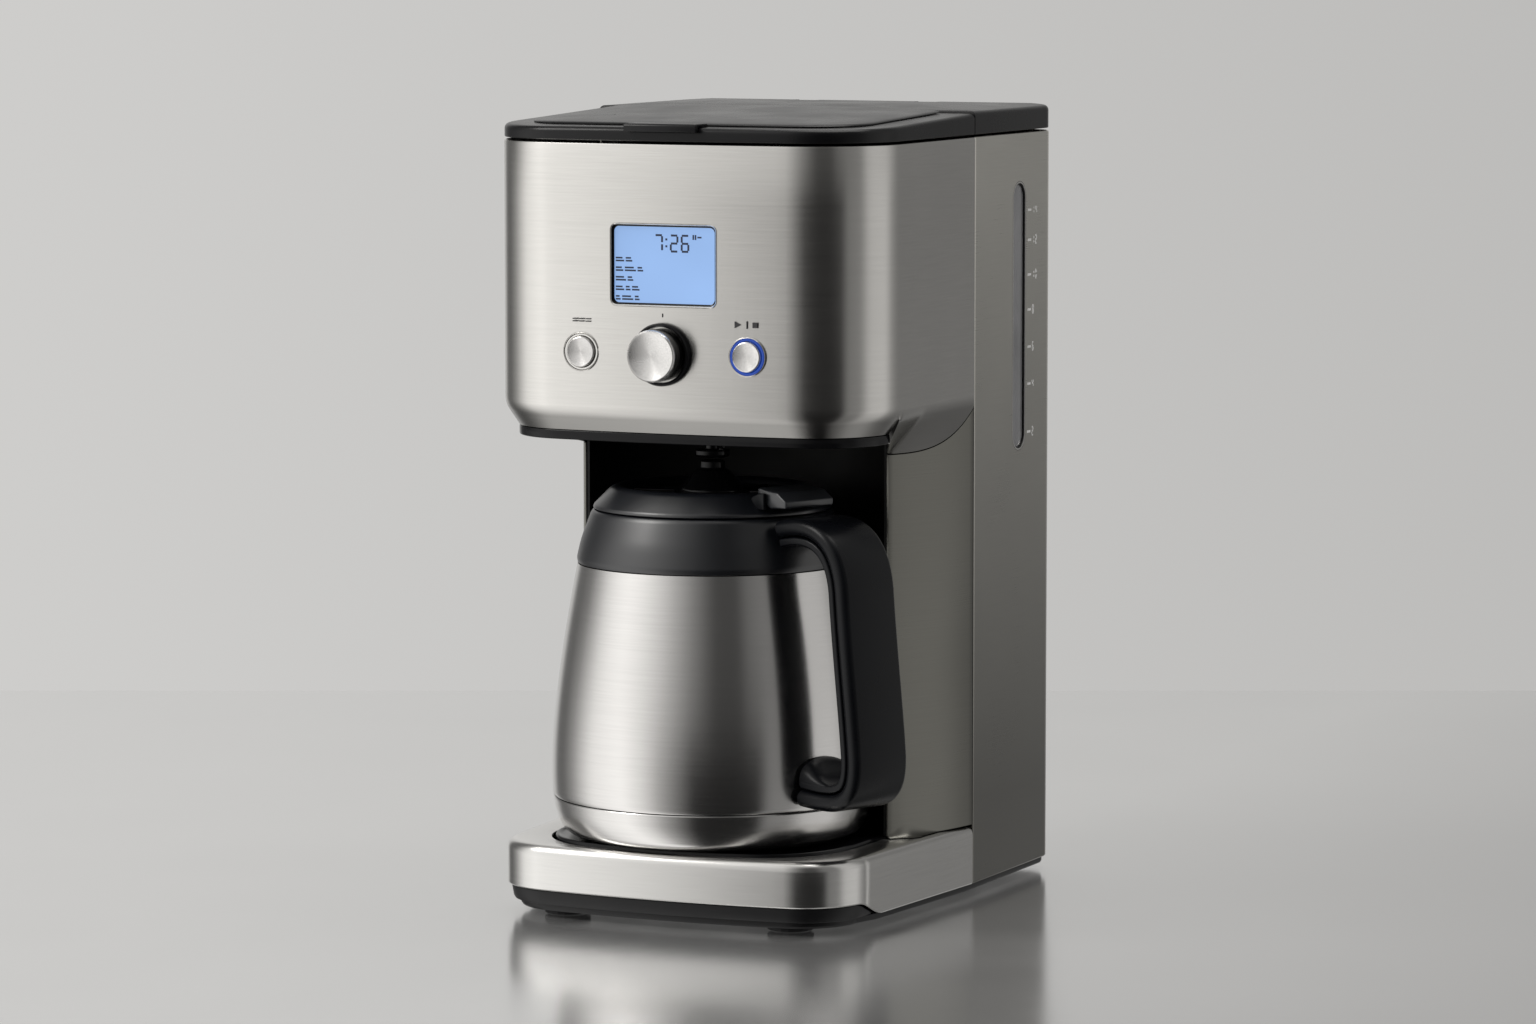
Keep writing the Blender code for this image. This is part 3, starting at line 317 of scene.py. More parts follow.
def smoothstep(value, low, high):
    t = min(1.0, max(0.0, (value - low) / (high - low)))
    return t * t * (3 - 2 * t)


def bezier(points, steps):
    """Points on a Bezier curve of any order, both ends included."""
    curve = []
    for k in range(steps + 1):
        level = [Vector(point) for point in points]
        while len(level) > 1:
            level = [a.lerp(b, k / steps) for a, b in zip(level, level[1:])]
        curve.append(level[0])
    return curve


# ---------------------------------------------------------------- materials


def feed(tree, node, inputs):
    """Links or sets a node's inputs, given by name or by number."""
    for key, value in inputs.items():
        if isinstance(value, bpy.types.NodeSocket):
            tree.links.new(value, node.inputs[key])
        else:
            node.inputs[key].default_value = value


def add_node(tree, kind, inputs=None, **settings):
    made = tree.nodes.new("ShaderNode" + kind)
    for key, value in settings.items():
        setattr(made, key, value)
    feed(tree, made, inputs or {})
    return made


class Finish:
    """A Principled material and short calls for the nodes that feed it."""

    def __init__(self, name, colour, roughness, metallic=0.0, **sockets):
        self.material = bpy.data.materials.new(name)
        self.material.use_nodes = True
        self.tree = self.material.node_tree
        self.shader = self.tree.nodes["Principled BSDF"]
        self.place = self.node("TexCoord").outputs["Object"]
        self.set(self.shader, {"Base Color": (*colour, 1.0), "Roughness": roughness, "Metallic": metallic})
        self.set(self.shader, {key.replace("_", " "): value for key, value in sockets.items()})
        self.colour = colour

    def set(self, node, inputs):
        feed(self.tree, node, inputs)

    def node(self, kind, inputs=None, **settings):
        return add_node(self.tree, kind, inputs, **settings)

    def mix(self, factor, first, second, blend="MIX"):
        """A colour between or from two others."""
        made = self.node("Mix", data_type="RGBA", blend_type=blend)
        self.set(made, {0: factor, 6: first, 7: second})
        return made.outputs[2]

    def noise(self, scale, detail):
        """Noise stretched by a scale for each axis, in cycles per metre."""
        vector = self.node("Mapping", {"Vector": self.place, "Scale": scale}).outputs[0]
        return self.node("TexNoise", {"Vector": vector, "Scale": 1.0, "Detail": detail}).outputs["Fac"]

    def spread(self, value, low, high, start=0.3, end=0.7):
        """The value's range from start to end, stretched to low and high."""
        inputs = {"Value": value, "From Min": start, "From Max": end, "To Min": low, "To Max": high}
        return self.node("MapRange", inputs).outputs[0]

    def tint(self, value, low, high):
        """The base colour times low to high, following a value from 0.3 to 0.7."""
        factor = self.spread(value, 0.0, 1.0)
        dark = (*[c * low for c in self.colour], 1.0)
        light = (*[min(1.0, c * high) for c in self.colour], 1.0)
        self.set(self.shader, {"Base Color": self.mix(factor, dark, light)})

    def paint_shade(self, axis, start, end, least):
        """The base colour times a factor that rises from least to 1 along one axis: painted shade, darker
        towards one end.
        """
        parts = self.node("SeparateXYZ", {"Vector": self.place})
        factor = self.spread(parts.outputs[axis], least, 1.0, start, end)
        colour = self.shader.inputs["Base Color"].links[0].from_socket
        self.set(self.shader, {"Base Color": self.mix(1.0, colour, factor, "MULTIPLY")})

    def rough(self, value, low, high):
        self.set(self.shader, {"Roughness": self.spread(value, low, high)})

    def bump(self, value, strength, distance):
        made = self.node("Bump", {"Height": value, "Strength": strength, "Distance": distance})
        self.set(self.shader, {"Normal": made.outputs[0]})

    def tangent_round(self, axis):
        made = self.node("Tangent", direction_type="RADIAL", axis=axis)
        self.set(self.shader, {"Tangent": made.outputs[0]})

    def tangent_level(self):
        """Brushing that runs level round upright walls."""
        normal = self.node("NewGeometry").outputs["Normal"]
        cross = self.node("VectorMath", {0: normal, 1: (0, 0, 1)}, operation="CROSS_PRODUCT")
        self.set(self.shader, {"Tangent": cross.outputs[0]})


def brushed_steel(name, lines, colour=(0.66, 0.65, 0.63), low=0.24, high=0.36, contrast=0.05, level=True,
                  shade=None, across=None):
    """Steel with fine brushing: lines scales the noise along X, Y and Z; shade and across paint shade,
    darkening the colour towards one end along an axis.
    """
    finish = Finish(name, colour, (low + high) / 2, 1.0, Anisotropic=0.5, Anisotropic_Rotation=0.25)
    grain = finish.noise(lines, 4.0)
    cloud = finish.noise((22, 22, 22), 2.0)
    both = finish.node("Math", {0: grain, 1: cloud}, operation="ADD").outputs[0]
    half = finish.node("Math", {0: both, 1: 0.5}, operation="MULTIPLY").outputs[0]
    finish.tint(grain, 1 - contrast, 1 + contrast)
    for gradient in filter(None, (shade, across)):
        finish.paint_shade(*gradient)
    finish.rough(half, low, high)
    finish.bump(grain, 0.035, 0.0002)
    if level:
        finish.tangent_level()
    return finish.material


def spun_steel(name, axis, colour=(0.64, 0.63, 0.62), rings=1800, roughness=0.26, bands=0.10):
    """A face turned on a lathe: fine rings and a highlight that fans out from the middle."""
    finish = Finish(name, colour, roughness, 1.0, Anisotropic=0.85, Anisotropic_Rotation=0.25)
    fine = finish.noise((rings, rings, rings), 2.0)
    finish.tint(fine, 1 - bands, 1 + bands)
    finish.rough(finish.noise((60, 60, 60), 2.0), roughness - 0.04, roughness + 0.05)
    finish.bump(fine, 0.03, 0.0001)
    finish.tangent_round(axis)
    return finish.material


def moulded(name, colour, low, high, grain=2600, strength=0.12, specular=0.5, coat=0.0):
    """Plastic with a fine moulded texture, faint clouding and slightly polished patches."""
    finish = Finish(name, colour, (low + high) / 2, 0.0, Specular_IOR_Level=specular, Coat_Weight=coat)
    fine = finish.noise((grain, grain, grain), 2.0)
    cloud = finish.noise((30, 30, 30), 3.0)
    finish.tint(cloud, 0.82, 1.18)
    finish.rough(cloud, low, high)
    finish.bump(fine, strength, 0.00012)
    return finish.material


# Colour, roughness from and to, fineness and depth of the texture, specular level, coat.
MOULDED = {
    "black": ((0.007, 0.007, 0.008), 0.34, 0.46, 2600, 0.10, 0.30),
    "lid_black": ((0.005, 0.005, 0.006), 0.24, 0.32, 3000, 0.06, 0.25),
    "collar_black": ((0.005, 0.006, 0.009), 0.28, 0.36, 1900, 0.12, 0.95),
    "handle_black": ((0.004, 0.0045, 0.006), 0.24, 0.32, 2400, 0.07, 0.16),
    "lever_black": ((0.022, 0.024, 0.028), 0.30, 0.40, 2400, 0.14, 0.8),
    "gloss_black": ((0.006, 0.006, 0.007), 0.10, 0.18, 1200, 0.03, 0.20),
    "inner_black": ((0.006, 0.006, 0.006), 0.50, 0.65, 1800, 0.20, 0.3),
    "rubber": ((0.012, 0.012, 0.013), 0.65, 0.80, 1400, 0.35, 0.3),
    "window": ((0.25, 0.25, 0.262), 0.10, 0.18, 900, 0.02, 0.5, 0.5),
    "print": ((0.97, 0.97, 0.95), 0.50, 0.60, 4000, 0.05),
    "dark_print": ((0.030, 0.030, 0.032), 0.45, 0.55, 4000, 0.05),
    "screen_print": ((0.012, 0.022, 0.060), 0.30, 0.40, 4000, 0.02),
    "board": ((0.02, 0.13, 0.05), 0.40, 0.55, 700, 0.10),
    "silicone": ((0.45, 0.45, 0.44), 0.40, 0.55, 900, 0.10),
    "tank": ((0.30, 0.32, 0.34), 0.12, 0.22, 500, 0.04),
}


# Scale of the brushing, colour, roughness from and to, contrast, whether it runs level, and painted shade
# that darkens one or two ends.
BRUSHED = {
    # steel: painted shade on the chamfer below the crease, the colour falling to 0.46 under 0.2500 m.
    "steel": ((38, 38, 3400), (0.58, 0.57, 0.55), 0.20, 0.27, 0.035, True, ("Z", 0.2500, 0.2560, 0.46)),
    # steel_base: a lighter copy of the steel, painted light on the base's top, with painted shade on its
    # sides below 0.0352 m.
    "steel_base": ((38, 38, 3400), (0.88, 0.87, 0.85), 0.20, 0.27, 0.035, True, ("Z", 0.0352, 0.0370, 0.67)),
    # steel_rear: painted shade, darker towards the bottom and towards the rear.
    "steel_rear": ((30, 30, 3400), (0.70, 0.685, 0.635), 0.26, 0.34, 0.04, True, ("Z", 0.05, 0.36, 0.30),
                   ("Y", 0.252, 0.160, 0.62)),
    # steel_column: a much darker copy of the steel, painted shade on the columns' sides.
    "steel_column": ((30, 30, 3400), (0.165, 0.162, 0.146), 0.26, 0.34, 0.04),
    "steel_carafe": ((34, 34, 3200), (0.62, 0.61, 0.60), 0.18, 0.25, 0.035),
    "steel_trim": ((400, 400, 400), (0.72, 0.71, 0.69), 0.18, 0.28),
    "knob_side": ((1500, 9, 1500), (0.30, 0.30, 0.30), 0.14, 0.24, 0.05, False),
    "pin": ((9, 1200, 1200), (0.55, 0.55, 0.55), 0.25, 0.35, 0.05, False),
    "flask": ((9, 9, 900), (0.50, 0.50, 0.50), 0.25, 0.35),
    "gold": ((2400, 2400, 2400), (0.70, 0.48, 0.16), 0.28, 0.40, 0.35, False),
}


def make_finishes():
    table = {name: moulded(name, *settings) for name, settings in MOULDED.items()}
    table.update({name: brushed_steel(name, *settings) for name, settings in BRUSHED.items()})
    table["spun"] = spun_steel("spun", "Y")
    table["screen"] = backlit("screen", (0.29, 0.47, 0.82), 0.80)
    table["ring_glow"] = backlit("ring_glow", (0.02, 0.09, 0.55), 0.45)
    return table


def backlit(name, colour, strength):
    """A panel lit from behind, a little uneven from side to side."""
    finish = Finish(name, tuple(0.3 * c for c in colour), 0.25, Emission_Strength=strength)
    patch = finish.noise((18, 18, 24), 1.0)
    factor = finish.spread(patch, 0.0, 1.0)
    dim, bright = [(*[level * c for c in colour], 1.0) for level in (0.90, 1.10)]
    finish.set(finish.shader, {"Emission Color": finish.mix(factor, dim, bright)})
    return finish.material


FINISHES = make_finishes()


# ---------------------------------------------------------------- body


def head_paths(inset):
    """Plan of the head's wall, and its lower edge point for point."""
    shift = CHAMFER_INSET + inset
    column = column_points(inset)
    first = Vector((HALF_WIDTH - shift, TRIM_END_Y + 0.0006, TRIM_BOTTOM))
    meet = Vector((*column[0], SWOOSH_LOW))
    edge = [Vector((first.x, TRIM_END_Y, CHAMFER_Z))]
    edge += [first.lerp(meet, k / 8) for k in range(8)]
    edge += [Vector((x, y, swoosh_height(k))) for k, (x, y) in enumerate(column)]
    side = [(HALF_WIDTH - inset, point.y) for point in edge]
    wall = front_outline(HALF_WIDTH - inset, inset, CORNER_RADIUS - inset, FRONT_BOW, side)
    under = [(point.x, point.y) for point in edge]
    plan = front_outline(HALF_WIDTH - shift, shift, CORNER_RADIUS - shift, FRONT_BOW, under)
    heights = [point.z for point in reversed(edge)]
    heights += [CHAMFER_Z] * (len(plan) - 2 * len(edge)) + [point.z for point in edge]
    return wall, [Vector((x, y, z)) for (x, y), z in zip(plan, heights)]


def head_rows(inset):
    """Rows of the head wrap from its top edge down to its lower edge."""
    wall, lower = head_paths(inset)
    drop = 0.003 / (SEAM_Y - TRIM_END_Y)
    levels = [CREASE_Z - max(0.0, y - TRIM_END_Y) * drop for _, y in wall]
    rows = []
    for step, fall in ((0.0007, 0.0), (0.0002, 0.0003), (0.0, 0.0010)):
        rows.append(at_height(head_paths(inset or step)[0], STEEL_TOP - fall))
    rows.append(at_height(wall, STEEL_TOP - 0.030))
    bends = []
    for (x, y), level, end in zip(wall, levels, lower):
        corner = Vector((x, y, level))
        bends.append(bezier([corner + Vector((0, 0, 0.0040)), corner, corner.lerp(end, 0.30)], 5))
    rows += [[bend[k] for bend in bends] for k in range(6)]
    rows.append(lower)
    return rows


def head_cutters(depth=0.03):
    screen = rounded_rectangle(-SCREEN_HALF, SCREEN_HALF, SCREEN_LOW, SCREEN_HIGH, 0.0038, 6)
    holes = [extrude(screen, -0.01, depth, "Y")]
    for x, radius in ((-BUTTON_X, 0.0094), (BUTTON_X, 0.0094), (0.0, 0.0050)):
        hole = lathe([(0, -0.02), (radius, -0.02), (radius, 0.01), (0, 0.01)], 64, False)
        holes.append(facing_front(hole, x, 0, CONTROL_Z))
    return merged(holes)


def build_head():
    piece("head_wrap", sheet(head_rows(0.0), head_rows(SHEET)), "steel", "machine", ["head_panel"],
          cutter=head_cutters())
    loops = []
    for inset, z in ((0.0074, TRIM_BOTTOM), (0.0071, TRIM_BOTTOM + 0.0003), (0.0070, TRIM_BOTTOM + 0.0010),
                     (0.0070, 0.2426), (0.0072, 0.2430)):
        side = [(HALF_WIDTH - inset, 0.0515)]
        outer = front_outline(HALF_WIDTH - inset, inset, CORNER_RADIUS - inset, FRONT_BOW, side)
        side = [(HALF_WIDTH - 0.013, 0.0515)]
        inner = front_outline(HALF_WIDTH - 0.013, 0.013, CORNER_RADIUS - 0.013, FRONT_BOW, side)
        loops.append(at_height(outer + inner[::-1], z))
    piece("head_trim_band", loft(loops), "gloss_black", "machine", ["head_trim"])


def column_rows(sign, inset):
    """Rows of one column's skin, with a hollow fillet where it meets the base."""
    path = column_points(inset)
    rows = [[(sign * x, y, swoosh_height(k) - 0.0006) for k, (x, y) in enumerate(path)]]
    rows.append([(sign * x, y, 0.120) for x, y in path])
    for inward, rise in quarter_round():
        row = []
        for x, y in path:
            room = max(0.0003, min(0.0075, base_side(y) - 0.0046 - x))
            room *= 0.25 + 0.75 * smoothstep(y, 0.0835, 0.0940)
            row.append((sign * (x + room * inward), y, BASE_TOP + 0.0004 + room * (1 - rise)))
        rows.append(row)
    return rows


def build_columns():
    for name, sign in (("left", -1), ("right", 1)):
        skin = sheet(column_rows(sign, 0.0), column_rows(sign, 0.0010))
        piece("column_skin_" + name, skin, "steel_column", "machine",
              ["column_side_" + name], bevel=0.00035)


def base_side(y):
    """Half width of the base, which widens from the front corner to the seam."""
    return BASE_HALF + (HALF_WIDTH - BASE_HALF) * (y - 0.026) / (SEAM_Y - 0.026)


def base_depths():
    return [0.0300 + 0.0030 * k for k in range(8)] + [0.0560, 0.0660, 0.0750] + [
        y for _, y in column_points()[::2]
    ]


def base_outline(inset, radius):
    side = [(base_side(y) - inset, y) for y in base_depths()]
    return front_outline(BASE_HALF - inset, BASE_FRONT_Y + inset, radius, BASE_BOW, side)


def recess_outline(offset):
    """Edge of the deck opening: round the carafe in front, along the column behind."""
    column = column_points(0.0015)
    side = []
    for k, y in enumerate(base_depths()):
        if y < 0.0840:
            side.append((0.0798 + offset + 0.0006 * k / 11, 0.0490 + (y - 0.0300) * 0.65))
        else:
            x = next(x for x, depth in column if depth >= y - 1e-6)
            side.append((min(x + offset, base_side(y) - 0.0060), y))
    return front_outline(0.0790 + offset, -0.0015 - offset, 0.046 + offset, BASE_BOW, side)


def steel_low(x, y):
    """Lower edge of the base cover: higher round the front than along the sides."""
    return 0.0145 - 0.0075 * smoothstep(y, 0.022, 0.046)


def steel_edge(x, y):
    """Top of the small round on the base cover's lower edge."""
    return steel_low(x, y) + 0.0006


def build_base():
    lows = (steel_low, steel_edge, 0.0240)
    insets = (0.0005, 0.0, 0.0)
    outer = [at_height(base_outline(inset, BASE_RADIUS - inset), low) for inset, low in zip(insets, lows)]
    inner = [at_height(base_outline(SHEET, BASE_RADIUS - SHEET), low) for low in lows]
    for inward, rise in quarter_round():
        inset = 0.0050 * inward
        outer.append(at_height(base_outline(inset, BASE_RADIUS - inset), BASE_TOP - 0.0050 + 0.0050 * rise))
    edge = ((0.0012, 0.0), (0.0007, 0.0002), (0.0006, 0.0007))
    outer += [at_height(recess_outline(offset), BASE_TOP - fall) for offset, fall in edge]
    for inward, rise in quarter_round():
        inset = SHEET + 0.0038 * inward
        inner.append(at_height(base_outline(inset, BASE_RADIUS - inset), BASE_TOP - 0.0050 + 0.0038 * rise))
    inner += [at_height(recess_outline(offset), BASE_TOP - SHEET) for offset, _ in edge]
    piece("base_shell", sheet(outer, inner), "steel_base", "machine", ["base_cover"])


def build_plinth():
    def band(inset):
        side = [(BASE_HALF - inset + 0.0008, 0.040)]
        return front_outline(BASE_HALF - inset, BASE_FRONT_Y + inset, BASE_RADIUS - inset, BASE_BOW, side)

    inner = band(0.0100)[::-1]
    loops = [
        at_height(band(0.0044) + inner, 0.0068),
        at_height(band(0.0034) + inner, 0.0071),
        at_height(band(0.0028) + inner, 0.0082),
        at_height(band(0.0019) + inner, lambda x, y: steel_low(x, y) - 0.0011),
        at_height(band(0.0021) + inner, lambda x, y: steel_low(x, y) - 0.0006),
    ]
    piece("plinth_band", loft(loops), "black", "machine", ["front_plinth"])

    def pan(inset):
        side = [(0.0965 - inset, 0.046), (HALF_WIDTH - 0.0004 - inset, 0.140)]
        side += arc(HALF_WIDTH - 0.0140, REAR_Y - 0.0140, 0.0136 - inset, 0, 90, 10)
        return front_outline(BASE_HALF - 0.0044 - inset, BASE_FRONT_Y + 0.0044 + inset, BASE_RADIUS - 0.0044,
                             BASE_BOW, side)

    heights = ((0.0050, PAN_LOW), (0.0022, PAN_LOW + 0.0005), (0.0016, PAN_LOW + 0.0016), (0.0016, 0.0065))
    loops = [at_height(pan(inset), z) for inset, z in heights]
    piece("pan", loft(loops), "black", "machine", ["base_pan"])


def build_mat():
    """The warm black deck under the carafe: a raised lip round a shallow dish."""
    def plan(inset):
        side = [(0.0790 - inset, 0.054), (0.0792 - inset, 0.069), (0.0792 - inset, 0.084)]
        outline = front_outline(0.0782 - inset, inset, 0.046 - inset, BASE_BOW, side)
        back = bay_path(-0.0004 - inset)
        return outline + [(x, y) for x, y in reversed(back) if y > 0.086]

    profile = ((0.0, 0.0344), (0.0, MAT_TOP - 0.0008), (0.0003, MAT_TOP - 0.0002), (0.0009, MAT_TOP),
               (0.0018, MAT_TOP - 0.0001), (0.0026, MAT_TOP - 0.0006), (0.0040, MAT_TOP - 0.0008))
    loops = [at_height(plan(inset), z) for inset, z in profile]
    piece("deck_mat", loft(loops), "gloss_black", "machine", ["carafe_mat"])


def bay_path(offset):
    """Plan of the carafe bay's wall, from its left front edge round the back to the right."""
    right = [(0.0814 + offset, COLUMN_FRONT.y + 0.0006)]
    for k in range(33):
        t = math.radians(90 * k / 32)
        right.append(((0.0814 + offset) * math.cos(t), 0.100 + (0.0555 + offset) * math.sin(t)))
    return [(-x, y) for x, y in right] + right[-2::-1]


def build_bay():
    rows = []
    for offset in (0.0, 0.0014):
        path = bay_path(offset)
        rows.append([at_height(path, 0.2398), at_height(path, MAT_TOP + 0.0004)])
    piece("bay_wall", sheet(*rows), "inner_black", "machine", ["bay_liner"])


def window_outline(inset=0.0):
    """The level window's slot, drawn in by an inset, as (y, z)."""
    return rounded_rectangle(WINDOW_Y - WINDOW_HALF + inset, WINDOW_Y + WINDOW_HALF - inset,
                             WINDOW_LOW + inset, WINDOW_HIGH - inset, WINDOW_HALF - 0.0003 - inset, 16)


def rear_outline(inset, front_y, rear_inset=None, steps=14):
    """From the front right, round the back, to the front left."""
    rear = REAR_Y - (inset if rear_inset is None else rear_inset)
    radius = max(0.002, REAR_RADIUS - inset)
    right = [(HALF_WIDTH - inset, front_y), (HALF_WIDTH - inset, front_y + 0.0006)]
    right += arc(HALF_WIDTH - inset - radius, rear - radius, radius, 0, 90, steps)
    return right + [(-x, y) for x, y in reversed(right)]


def build_rear():
    def row(inset, z):
        outline = rear_outline(inset, REAR_START_Y)
        edge = 0.0004 if inset < 0.0010 else 0.0
        ends = [(outline[0][0] - edge, outline[0][1]), (outline[-1][0] + edge, outline[-1][1])]
        return at_height([ends[0]] + outline[1:-1] + [ends[1]], z)

    heights = (STEEL_TOP, STEEL_TOP - 0.0003, STEEL_TOP - 0.0010, 0.2900, 0.1000, 0.0076, 0.0070)
    outer = [row(inset, z) for inset, z in zip((0.0007, 0.0002, 0.0, 0.0, 0.0, 0.0, 0.0005), heights)]
    inner = [row(SHEET, z) for z in heights]
    piece("rear_wrap", sheet(outer, inner), "steel_rear", "machine", ["tank_wrap"],
          cutter=extrude(window_outline(), 0.09, 0.12, "X"))


def slot_ring(outer, inner, low, high):
    """A thin frame that follows the slot's edge, between two insets and two depths."""
    loops = []
    for inset, x in ((outer, low), (outer, high), (inner, high), (inner, low), (outer, low)):
        loops.append([(x, y, z) for y, z in window_outline(inset)])
    return closed_loft(loops)


def build_window():
    profile = []
    for inset, x in ((-0.0022, 0.1010), (-0.0022, 0.1028), (-0.0008, 0.1034), (0.0010, 0.1036),
                     (0.0032, 0.1041)):
        profile.append([(x, y, z) for y, z in window_outline(inset)])
    piece("window_pane", loft(profile), "window", "machine", ["level_window"])
    rim = slot_ring(0.0002, 0.0011, 0.1040, HALF_WIDTH)
    piece("window_rim", rim, "steel_trim", "machine")
    dark = slot_ring(0.0012, 0.0017, 0.1040, 0.1045)
    piece("window_gasket", dark, "rubber", "machine")
    levels = (0.2316, 0.2563, 0.2754, 0.2945, 0.3125, 0.3303, 0.3457)
    bars = [block((HALF_WIDTH - 0.0001, 0.2152, z - 0.0006), (HALF_WIDTH - 0.00002, 0.2200, z + 0.0006))
            for z in levels]
    for z, number in zip(levels, ("2", "4", "6", "8", "10", "12", "14")):
        for y0, y1, z0, z1 in strokes(number, 0.0050, 0.0009):
            low = (HALF_WIDTH - 0.0001, 0.2214 + y0, z - 0.0025 + z0)
            bars.append(block(low, (HALF_WIDTH - 0.00002, 0.2214 + y1, z - 0.0025 + z1)))
    scale = moved(merged(bars), x=0.00006)
    piece("level_marks", scale, "print", "machine")


SEGMENTS = {
    "0": "abcdef", "1": "bc", "2": "abged", "3": "abgcd", "4": "fgbc", "5": "afgcd", "6": "afgedc",
    "7": "abc", "8": "abcdefg", "9": "abcdfg",
}


def strokes(text, height, line):
    """Digits in seven bars each, as (x0, x1, z0, z1) from the lower left of the text."""
    found, x = [], 0.0
    width = height * 0.52
    for character in text:
        if character == ":":
            for z in (0.28, 0.66):
                found.append((x, x + line, z * height, z * height + line))
            x += line * 2.4
            continue
        middle, top, right = (height - line) / 2, height - line, width - line
        bars = {
            "a": (line * 0.6, width - line * 0.6, top, height), "b": (right, width, middle + line, top),
            "c": (right, width, line, middle), "d": (line * 0.6, width - line * 0.6, 0.0, line),
            "e": (0.0, line, line, middle), "f": (0.0, line, middle + line, top),
            "g": (line * 0.6, width - line * 0.6, middle, middle + line),
        }
        found += [(x + bars[s][0], x + bars[s][1], bars[s][2], bars[s][3]) for s in SEGMENTS[character]]
        x += width + line * 1.3
    return found


# ---------------------------------------------------------------- lids


def lid_height(x, y):
    """Upper surface of both lids: rising to the seam and domed across."""
    rise = min(1.0, max(0.0, y / SEAM_Y))
    rim = LID_RIM_FRONT + (LID_RIM_REAR - LID_RIM_FRONT) * rise
    return rim + LID_DOME * (0.35 + 0.65 * rise) * (1 - (x / HALF_WIDTH) ** 2)


def lid_outline(inset, rear_inset, steps=16):
    rear = SEAM_Y - rear_inset
    side = [(HALF_WIDTH - inset, 0.060 + (rear - 0.060) * k / 8) for k in range(9)]
    return front_outline(HALF_WIDTH - inset, inset, max(0.006, CORNER_RADIUS - inset), FRONT_BOW, side,
                         steps, 24)


def above(drop):
    return lambda x, y: lid_height(x, y) - drop


def hinge_cutters(axis):
    """Room for two hinge ears and a bore for the pin, in the bar along a lid's rear edge."""
    circle = arc(*axis, 0.0014, 0, 360, 24)[:-1]
    cutters = [extrude(circle, -HINGE_X - 0.013, HINGE_X + 0.013, "X")]
    for sign in (-1, 1):
        low = (sign * HINGE_X - 0.00625, axis[0] - 0.0037, LID_BOTTOM - 0.01)
        cutters.append(block(low, (sign * HINGE_X + 0.00625, axis[0] + 0.010, axis[1] + 0.02)))
    return merged(cutters)


def build_brew_lid():
    wall, bar = 0.0025, 0.0065
    ceiling = ((0.090, 0.068), (0.045, 0.045), (0.008, bar + 0.001))
    loops = [at_height(lid_outline(inset, rear), above(wall)) for inset, rear in ceiling]
    loops.append(at_height(lid_outline(wall, bar), above(wall + 0.0010)))
    loops.append(at_height(lid_outline(wall, bar), LID_BOTTOM))
    loops.append(at_height(lid_outline(0.0006, 0.0003), LID_BOTTOM))
    loops.append(at_height(lid_outline(0.0002, 0.0), LID_BOTTOM + 0.0004))
    loops.append(at_height(lid_outline(0.0002, 0.0), above(0.0026)))
    for inward, rise in quarter_round(15):
        outline = lid_outline(0.0002 + 0.0024 * inward, 0.0014 * inward)
        loops.append(at_height(outline, above(0.0026 * (1 - rise))))
    loops += [at_height(lid_outline(inset, inset), above(0.0)) for inset in (0.0080, 0.0200, 0.045, 0.068)]
    loops.append(at_height(lid_outline(0.090, 0.068), above(0.0)))
    piece("lid_shell", loft(loops), "lid_black", "brew_lid", ["brew_lid"],
          cutter=hinge_cutters(LID_AXIS))

    def panel(inset):
        side = [(HALF_WIDTH - inset, 0.060 + (SEAM_Y - 0.012 - 0.060) * k / 6) for k in range(7)]
        radius = max(0.010, 0.048 - inset)
        return front_outline(HALF_WIDTH - inset, inset - 0.003, radius, 0.006, side, 16, 24)

    rise = ((0.014, -0.0003), (0.014, -0.0006), (0.0143, -0.0009), (0.0152, -0.0012), (0.0165, -0.0014))
    loops = [at_height(panel(0.050), above(-0.0003))]
    loops += [at_height(panel(inset), above(drop)) for inset, drop in rise]
    loops += [at_height(panel(inset), above(-0.0014)) for inset in (0.030, 0.050)]
    piece("lid_panel", loft(loops), "lid_black", "brew_lid", ["brew_lid_panel"])
    piece("lid_tab", finger_tab(), "lid_black", "brew_lid", ["brew_lid_tab"], bevel=0.0003)


def finger_tab():
    """Flat on the lid, turned down over its front edge."""
    low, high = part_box("brew_lid_tab")
    front = low.y - ORIGIN.y
    outline = [(0.0050, high.z), (front + 0.0008, high.z), (front, high.z - 0.0010), (front, low.z),
               (front + 0.0028, low.z), (front + 0.0028, 0.39435), (0.0105, 0.39435),
               (0.0105, high.z - 0.0003), (0.0101, high.z)]
    outline = fillet(outline, 0.0005, 3)
    return loft([[(x, y, z) for y, z in outline] for x in (-0.0194, 0.0194)])


def build_tank_lid():
    top, wall, bar = 0.0012, 0.0025, 0.0065

    def loop(inset, front, rear, drop=None):
        outline = rear_outline(inset, REAR_START_Y + front, rear)
        return at_height(outline, LID_BOTTOM if drop is None else above(drop - top))

    loops = [loop(0.045, 0.030, 0.045, wall), loop(wall, wall, bar, wall + 0.0008), loop(wall, wall, bar)]
    loops += [loop(0.0006, 0.0003, 0.0006)]
    loops.append(at_height(rear_outline(0.0002, REAR_START_Y, 0.0002), LID_BOTTOM + 0.0004))
    loops.append(loop(0.0002, 0.0, 0.0002, 0.0026))
    for inward, rise in quarter_round(15):
        side = 0.0002 + 0.0024 * inward
        loops.append(loop(side, 0.0010 * inward, side, 0.0026 * (1 - rise)))
    loops += [loop(0.010, 0.006, 0.010, 0.0), loop(0.030, 0.018, 0.030, 0.0), loop(0.045, 0.030, 0.045, 0.0)]
    piece("tank_lid_shell", loft(loops), "lid_black", "tank_lid", ["tank_lid"],
          cutter=hinge_cutters(TANK_AXIS))


# ---------------------------------------------------------------- controls


def screen_outline(inset, radius):
    return rounded_rectangle(-SCREEN_HALF + inset, SCREEN_HALF - inset, SCREEN_LOW + inset,
                             SCREEN_HIGH - inset, radius, 8)


